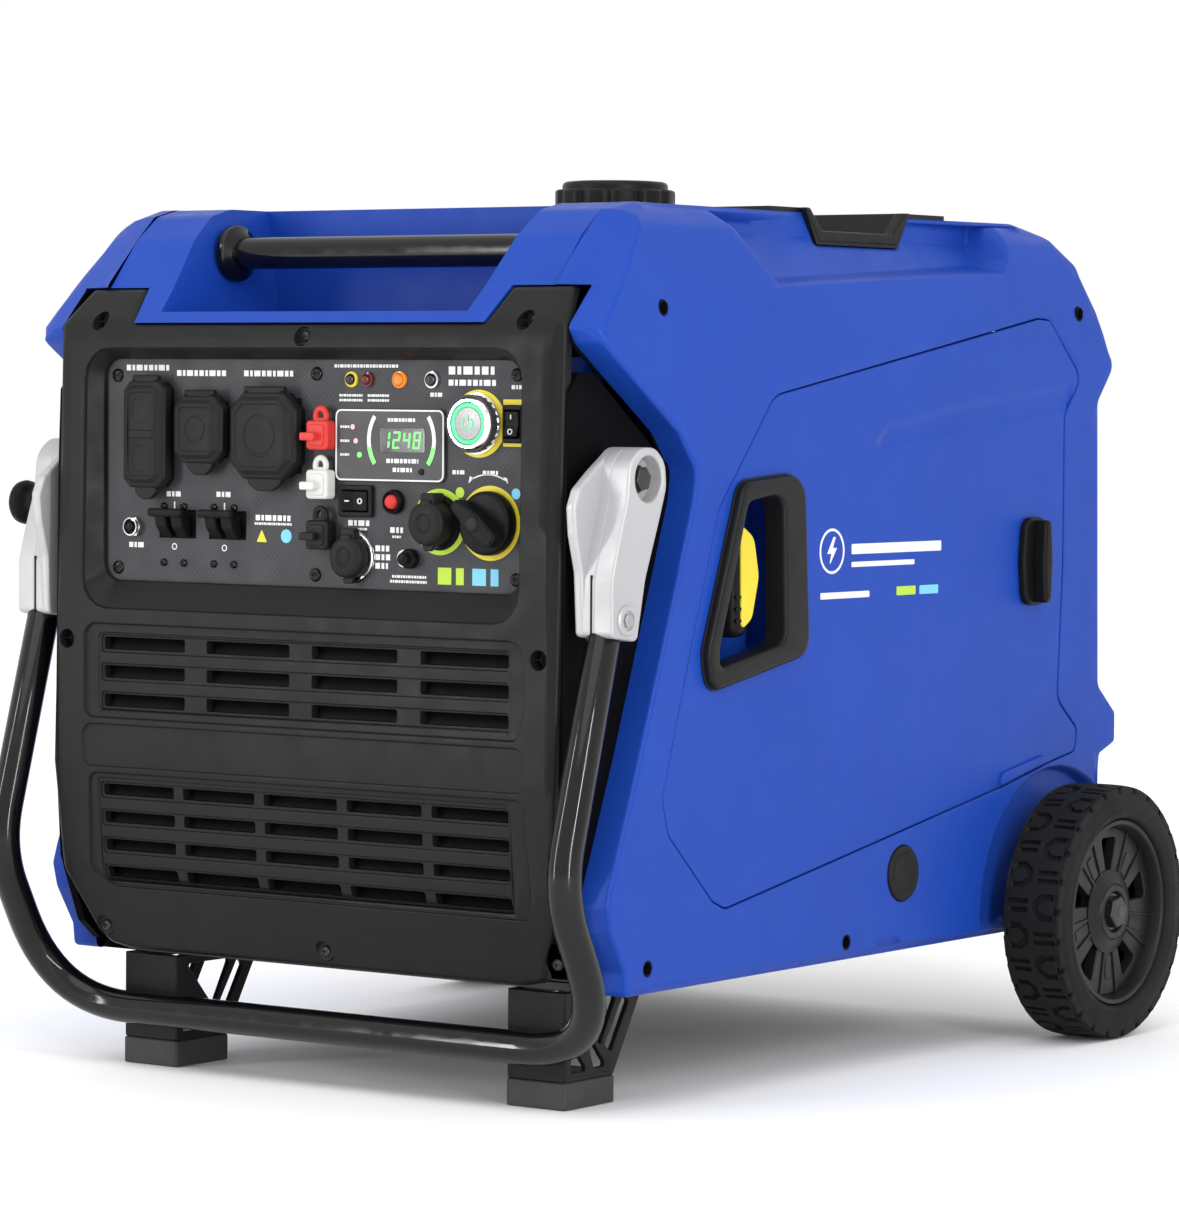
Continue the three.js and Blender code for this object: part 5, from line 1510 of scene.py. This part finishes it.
def build_door():
    window = [(143, 462, 14), (221, 467, 18), (229, 334, 14), (102, 311, 16), (97, 339, 14)]
    latch_hole = circle(572, 394, 8, 24)
    upper = [(330, 487, 6), (440, 502, 60), (618, 519, 20), (636, 528, 5), (634, 538, 5), (618, 534, 20),
             (477, 522, 60),
             (352, 503, 6)]
    steps = [
        step(window, 6.0, edge=0.8, through=True),
        step(latch_hole, 4.0, edge=0.4, through=True),
        {"rings": [(ring(upper, inset), depth) for inset,
                   depth in ((-5, 0), (-3, 0.3), (0.5, 1.3), (3, 1.7))],
         "through": False},
    ]
    skin = relief(moved_in(DOOR_OUTLINE, 0.5), steps, lambda u, v: 0.0, rim=(1.2, 4.0), spacing=14,
                  wrap=lambda axis, u, v, height: (269.6 - height, u, v))
    tab = slab([(524, 211.5, 2), (536, 213.5, 3), (598, 227.5, 3), (594, 233, 2.5), (529, 222, 3)], "x",
               268.5, 273, 1.4)
    piece("door_skin", "service_door", all_in(BLUE, skin, tab), replaces=["service_door"])
    marks = []
    ring_mark = turned_ring([(15.6, 269.9), (17.6, 269.9), (17.6, 269.4), (15.6, 269.4)], "x", (272, 409),
                            56)
    bolt = [(274, 420, 0.5), (265, 407, 0.5), (271, 407, 0.5), (268, 397.5, 0.5), (279, 411.5, 0.5),
            (273, 411.5, 0.5), (277, 420, 0.5)]
    marks += [ring_mark, slab(bolt, "x", 269.4, 269.9, 0.05)]
    places = ((300, 406, 132, 8), (300, 396, 92, 4), (256, 372, 70, 5), (366, 372, 28, 7),
              (400, 372, 28, 7))
    *bars, lime_bar, sky_bar = [
        slab(rectangle(u, u + width, v, v + height, 1), "x", 269.4, 269.9, 0.05) for u, v, width,
        height in places
    ]
    piece("door_mark", "service_door", [*all_in(PRINT, *marks, *bars), (lime_bar, LIME), (sky_bar, SKY)])


# ---------------------------------------------------------------- fuel cap, grab bar and feet
def build_tray_edges():
    """Blue skirts that close the slope under the tray's edges, and the thick lips of its two scoops."""
    section = [(202, 672), (217.5, 652.6), (214, 650), (198, 669)]
    lip_outline = [(302, 676, 1), (322, 649.5, 3), (436, 649.5, 3), (457.5, 676, 1), (449, 676, 1),
                   (430, 658.5, 3),
                   (328, 658.5, 3), (310, 676, 1)]
    for side, turn in SIDES:
        skirts = []
        for ends_top, ends_low in (((263.6, 302.5), (263.6, 318)), ((457, 518.4), (438.5, 518.4))):
            loops = []
            for k in (0, 1):
                loops.append([(x, ends_top[k] if z > 660 else ends_low[k], z) for x, z in section])
            points, faces = loft(loops)
            faces += [(0, 1, 2, 3), (4, 5, 6, 7)]
            skirts.append((points, faces))
        piece(f"tray_skirt_{side}", "housing", all_in(BLUE, *map(turn, skirts)),
              angle=30)
        lip = slab(lip_outline, "x", 212, 222.5, 1.8)
        piece(f"scoop_lip_{side}", "housing", [(turn(lip), BLACK)], angle=40)


def build_fuel_cap():
    y = 358
    count = 12
    lobes = []
    for k in range(count * 8):
        a = k * math.tau / (count * 8)
        radius = 49 - 3.2 * max(0.0, math.cos(a * count)) ** 4
        lobes.append((radius * math.cos(a), y + radius * math.sin(a), 0))
    grip = slab(lobes, "z", 677, 695, 2.2)
    skirt = lathe([(0.01, 675.6), (42, 675.6), (43, 676), (43, 679)], "z", (0, y), 64)
    top = lathe([(43.2, 694.5), (43.2, 698.5), (42, 700.6), (39.8, 701.6), (35.4, 702), (33.8, 701.8),
                 (33.2, 700.8),
                 (32.4, 700.4), (0.01, 700.4)], "z", (0, y), 72)
    plug = lathe(disc_profile(23, 655, 679, 1), "z", (0, y), 32)
    bar = slab([(-30, y - 4, 2), (30, y - 4, 2), (30, y + 4, 2), (-30, y + 4, 2)], "z", 700, 701.9, 0.8)
    piece("fuel_cap_grip", "fuel_cap", all_in(BLACK, grip, skirt, top, plug, bar), replaces=["fuel_cap"],
          angle=40)
    neck = turned_ring([(25.5, 672), (40, 676.5), (41.5, 675.8), (41.5, 673), (25.5, 671)], "z", (0, y), 64)
    piece("filler_ring", "housing", [(neck, DARK)], angle=40)


def build_grab_bar():
    y, z = 55, 637
    bar = lathe(disc_profile(12.5, -172, 172, 1.5), "x", (y, z), 40)
    parts = [bar]
    for x, side in ((-148, 1), (148, -1)):
        parts.append(turned_ring([(12.4, x + side * 8), (15.5, x + side * 7.4), (17, x + side * 5),
                                  (21.2, x + side * 3.4),
                                  (22, x + side * 2), (22, x - side * 2.4), (12.4, x - side * 2.4)], "x",
                                 (y, z), 48))
    piece("grab_bar_tube", "housing", all_in(GLOSS, *parts), replaces=["grab_bar"],
          angle=50)


def build_feet():
    low_line = [(1, 21, 1), (63, 21, 1), (96, 76, 6), (96, 87.5, 1), (1, 87.5, 1)]
    holes = [
        [(9, 27, 2), (30, 27, 2), (9, 50, 2)], [(38, 28, 2), (54, 28, 2), (26, 60, 2)],
        [(14, 80, 2), (46, 44, 2), (66, 80, 2)], [(60, 38, 2), (82, 74, 2), (76, 80, 2), (52, 44, 2)],
    ]
    for side, turn in SIDES:
        x0, x1 = 160.6, 215.6
        pad = slab(rectangle(x0, x1, 0, 64, 3), "z", 0, 20.5, 2.2, edge_low=0.8)
        tread = [slab(rectangle(x0 + 2, x1 - 2, 6 + k * 13, 12 + k * 13, 1), "z", 0.1, 2.0,
                      0.3) for k in range(4)]
        shoe = slab(rectangle(x0 + 0.5, x1 - 0.5, 0.6, 63.6, 3), "z", 20.6, 24, 0.8)
        cheeks = [slab(low_line, "x", a, b, 1.2, holes=holes) for a,
                  b in ((x1 - 5.5, x1 - 0.8), (x0 + 0.8, x0 + 5.5))]
        front = slab(rectangle(x0 + 1, x1 - 1, 21, 87.5, 2), "y", 0.8, 5.6, 1.4)
        piece(f"foot_pad_{side}_rubber", "housing", all_in(FOOT, *map(turn, (pad, *tread))),
              replaces=[f"foot_pad_{side}"],
              angle=40)
        piece(f"foot_{side}", "housing", all_in(BLACK, *map(turn, (shoe, *cheeks, front))),
              replaces=[f"foot_bracket_{side}"], angle=40)


# ---------------------------------------------------------------- camera, floor and light
CAMERA_AZIMUTH = math.radians(35.75)
CAMERA_PITCH = math.radians(2.66)
CAMERA_ROLL = math.radians(0.41)
CAMERA_PLACE = (2339.8, -2923.9, 535.0)
CAMERA_LENS = 144.04


def add_camera():
    data = bpy.data.cameras.new("camera")
    data.sensor_fit = "VERTICAL"
    data.sensor_height = 36
    data.lens = CAMERA_LENS
    data.clip_end = 50
    camera = bpy.data.objects.new("camera", data)
    bpy.context.scene.collection.objects.link(camera)
    ahead = Vector((
        -math.sin(CAMERA_AZIMUTH) * math.cos(CAMERA_PITCH),
        math.cos(CAMERA_AZIMUTH) * math.cos(CAMERA_PITCH),
        -math.sin(CAMERA_PITCH),
    ))
    right = Vector((math.cos(CAMERA_AZIMUTH), math.sin(CAMERA_AZIMUTH), 0))
    up = right.cross(ahead)
    across = right * math.cos(CAMERA_ROLL) + up * math.sin(CAMERA_ROLL)
    upward = up * math.cos(CAMERA_ROLL) - right * math.sin(CAMERA_ROLL)
    turn = Matrix((across, upward, -ahead)).transposed().to_4x4()
    camera.matrix_world = Matrix.Translation(metres(CAMERA_PLACE)) @ turn
    bpy.context.scene.camera = camera


def add_floor():
    half = 12
    mesh = bpy.data.meshes.new("floor")
    mesh.from_pydata([(-half, -half, 0), (half, -half, 0), (half, half, 0), (-half, half, 0)], [],
                     [(0, 1, 2, 3)])
    floor = bpy.data.objects.new("floor", mesh)
    bpy.context.scene.collection.objects.link(floor)
    floor.location.z = -0.0005
    made, _, shader = new_material("pale_floor")
    shader.inputs["Base Color"].default_value = (0.97, 0.97, 0.97, 1)
    shader.inputs["Roughness"].default_value = 0.8
    mesh.materials.append(made)


def add_area(name, place, target, size, power):
    data = bpy.data.lights.new(name, "AREA")
    data.shape = "RECTANGLE"
    data.size, data.size_y = size
    data.energy = power
    lamp = bpy.data.objects.new(name, data)
    bpy.context.scene.collection.objects.link(lamp)
    lamp.location = Vector(place)
    lamp.rotation_euler = (Vector(target) - Vector(place)).to_track_quat("-Z", "Y").to_euler()


def add_lights():
    world = bpy.data.worlds.new("studio")
    world.use_nodes = True
    world.node_tree.nodes["Background"].inputs["Color"].default_value = (1, 1, 1, 1)
    world.node_tree.nodes["Background"].inputs["Strength"].default_value = 1.0
    bpy.context.scene.world = world
    add_area("strip_right", (2.6, -1.5, 1.0), (0.1, -0.2, 0.35), (0.16, 2.2), 40)
    add_area("strip_left", (-1.5, -2.6, 1.0), (-0.1, -0.3, 0.35), (0.16, 2.2), 26)
    sun = bpy.data.lights.new("top_soft", "SUN")
    sun.energy = 0.7
    sun.angle = math.radians(50)
    overhead = bpy.data.objects.new("top_soft", sun)
    overhead.rotation_euler = (math.radians(28), math.radians(8), 0)
    bpy.context.scene.collection.objects.link(overhead)


dress_nodes()
for node_name, bevel in SOFTENED.items():
    soften(node_name, bevel)
for node_name, crease in ROUNDED.items():
    round_over(node_name, crease)
for build in (
    build_fascia, build_lids, build_parallel_caps, build_start_button, build_small_controls, build_ports,
    build_dial,
    build_display, build_lamps, build_printed_marks, build_plate_screws, build_handle, build_brackets,
    build_lock_knob,
    build_wheels, build_shells, build_window, build_grip, build_latch, build_plug, build_side_screws,
    build_door,
    build_tray_edges, build_fuel_cap, build_grab_bar, build_feet,
):
    build()
add_camera()
add_floor()
add_lights()
bpy.context.scene.view_settings.view_transform = "Standard"
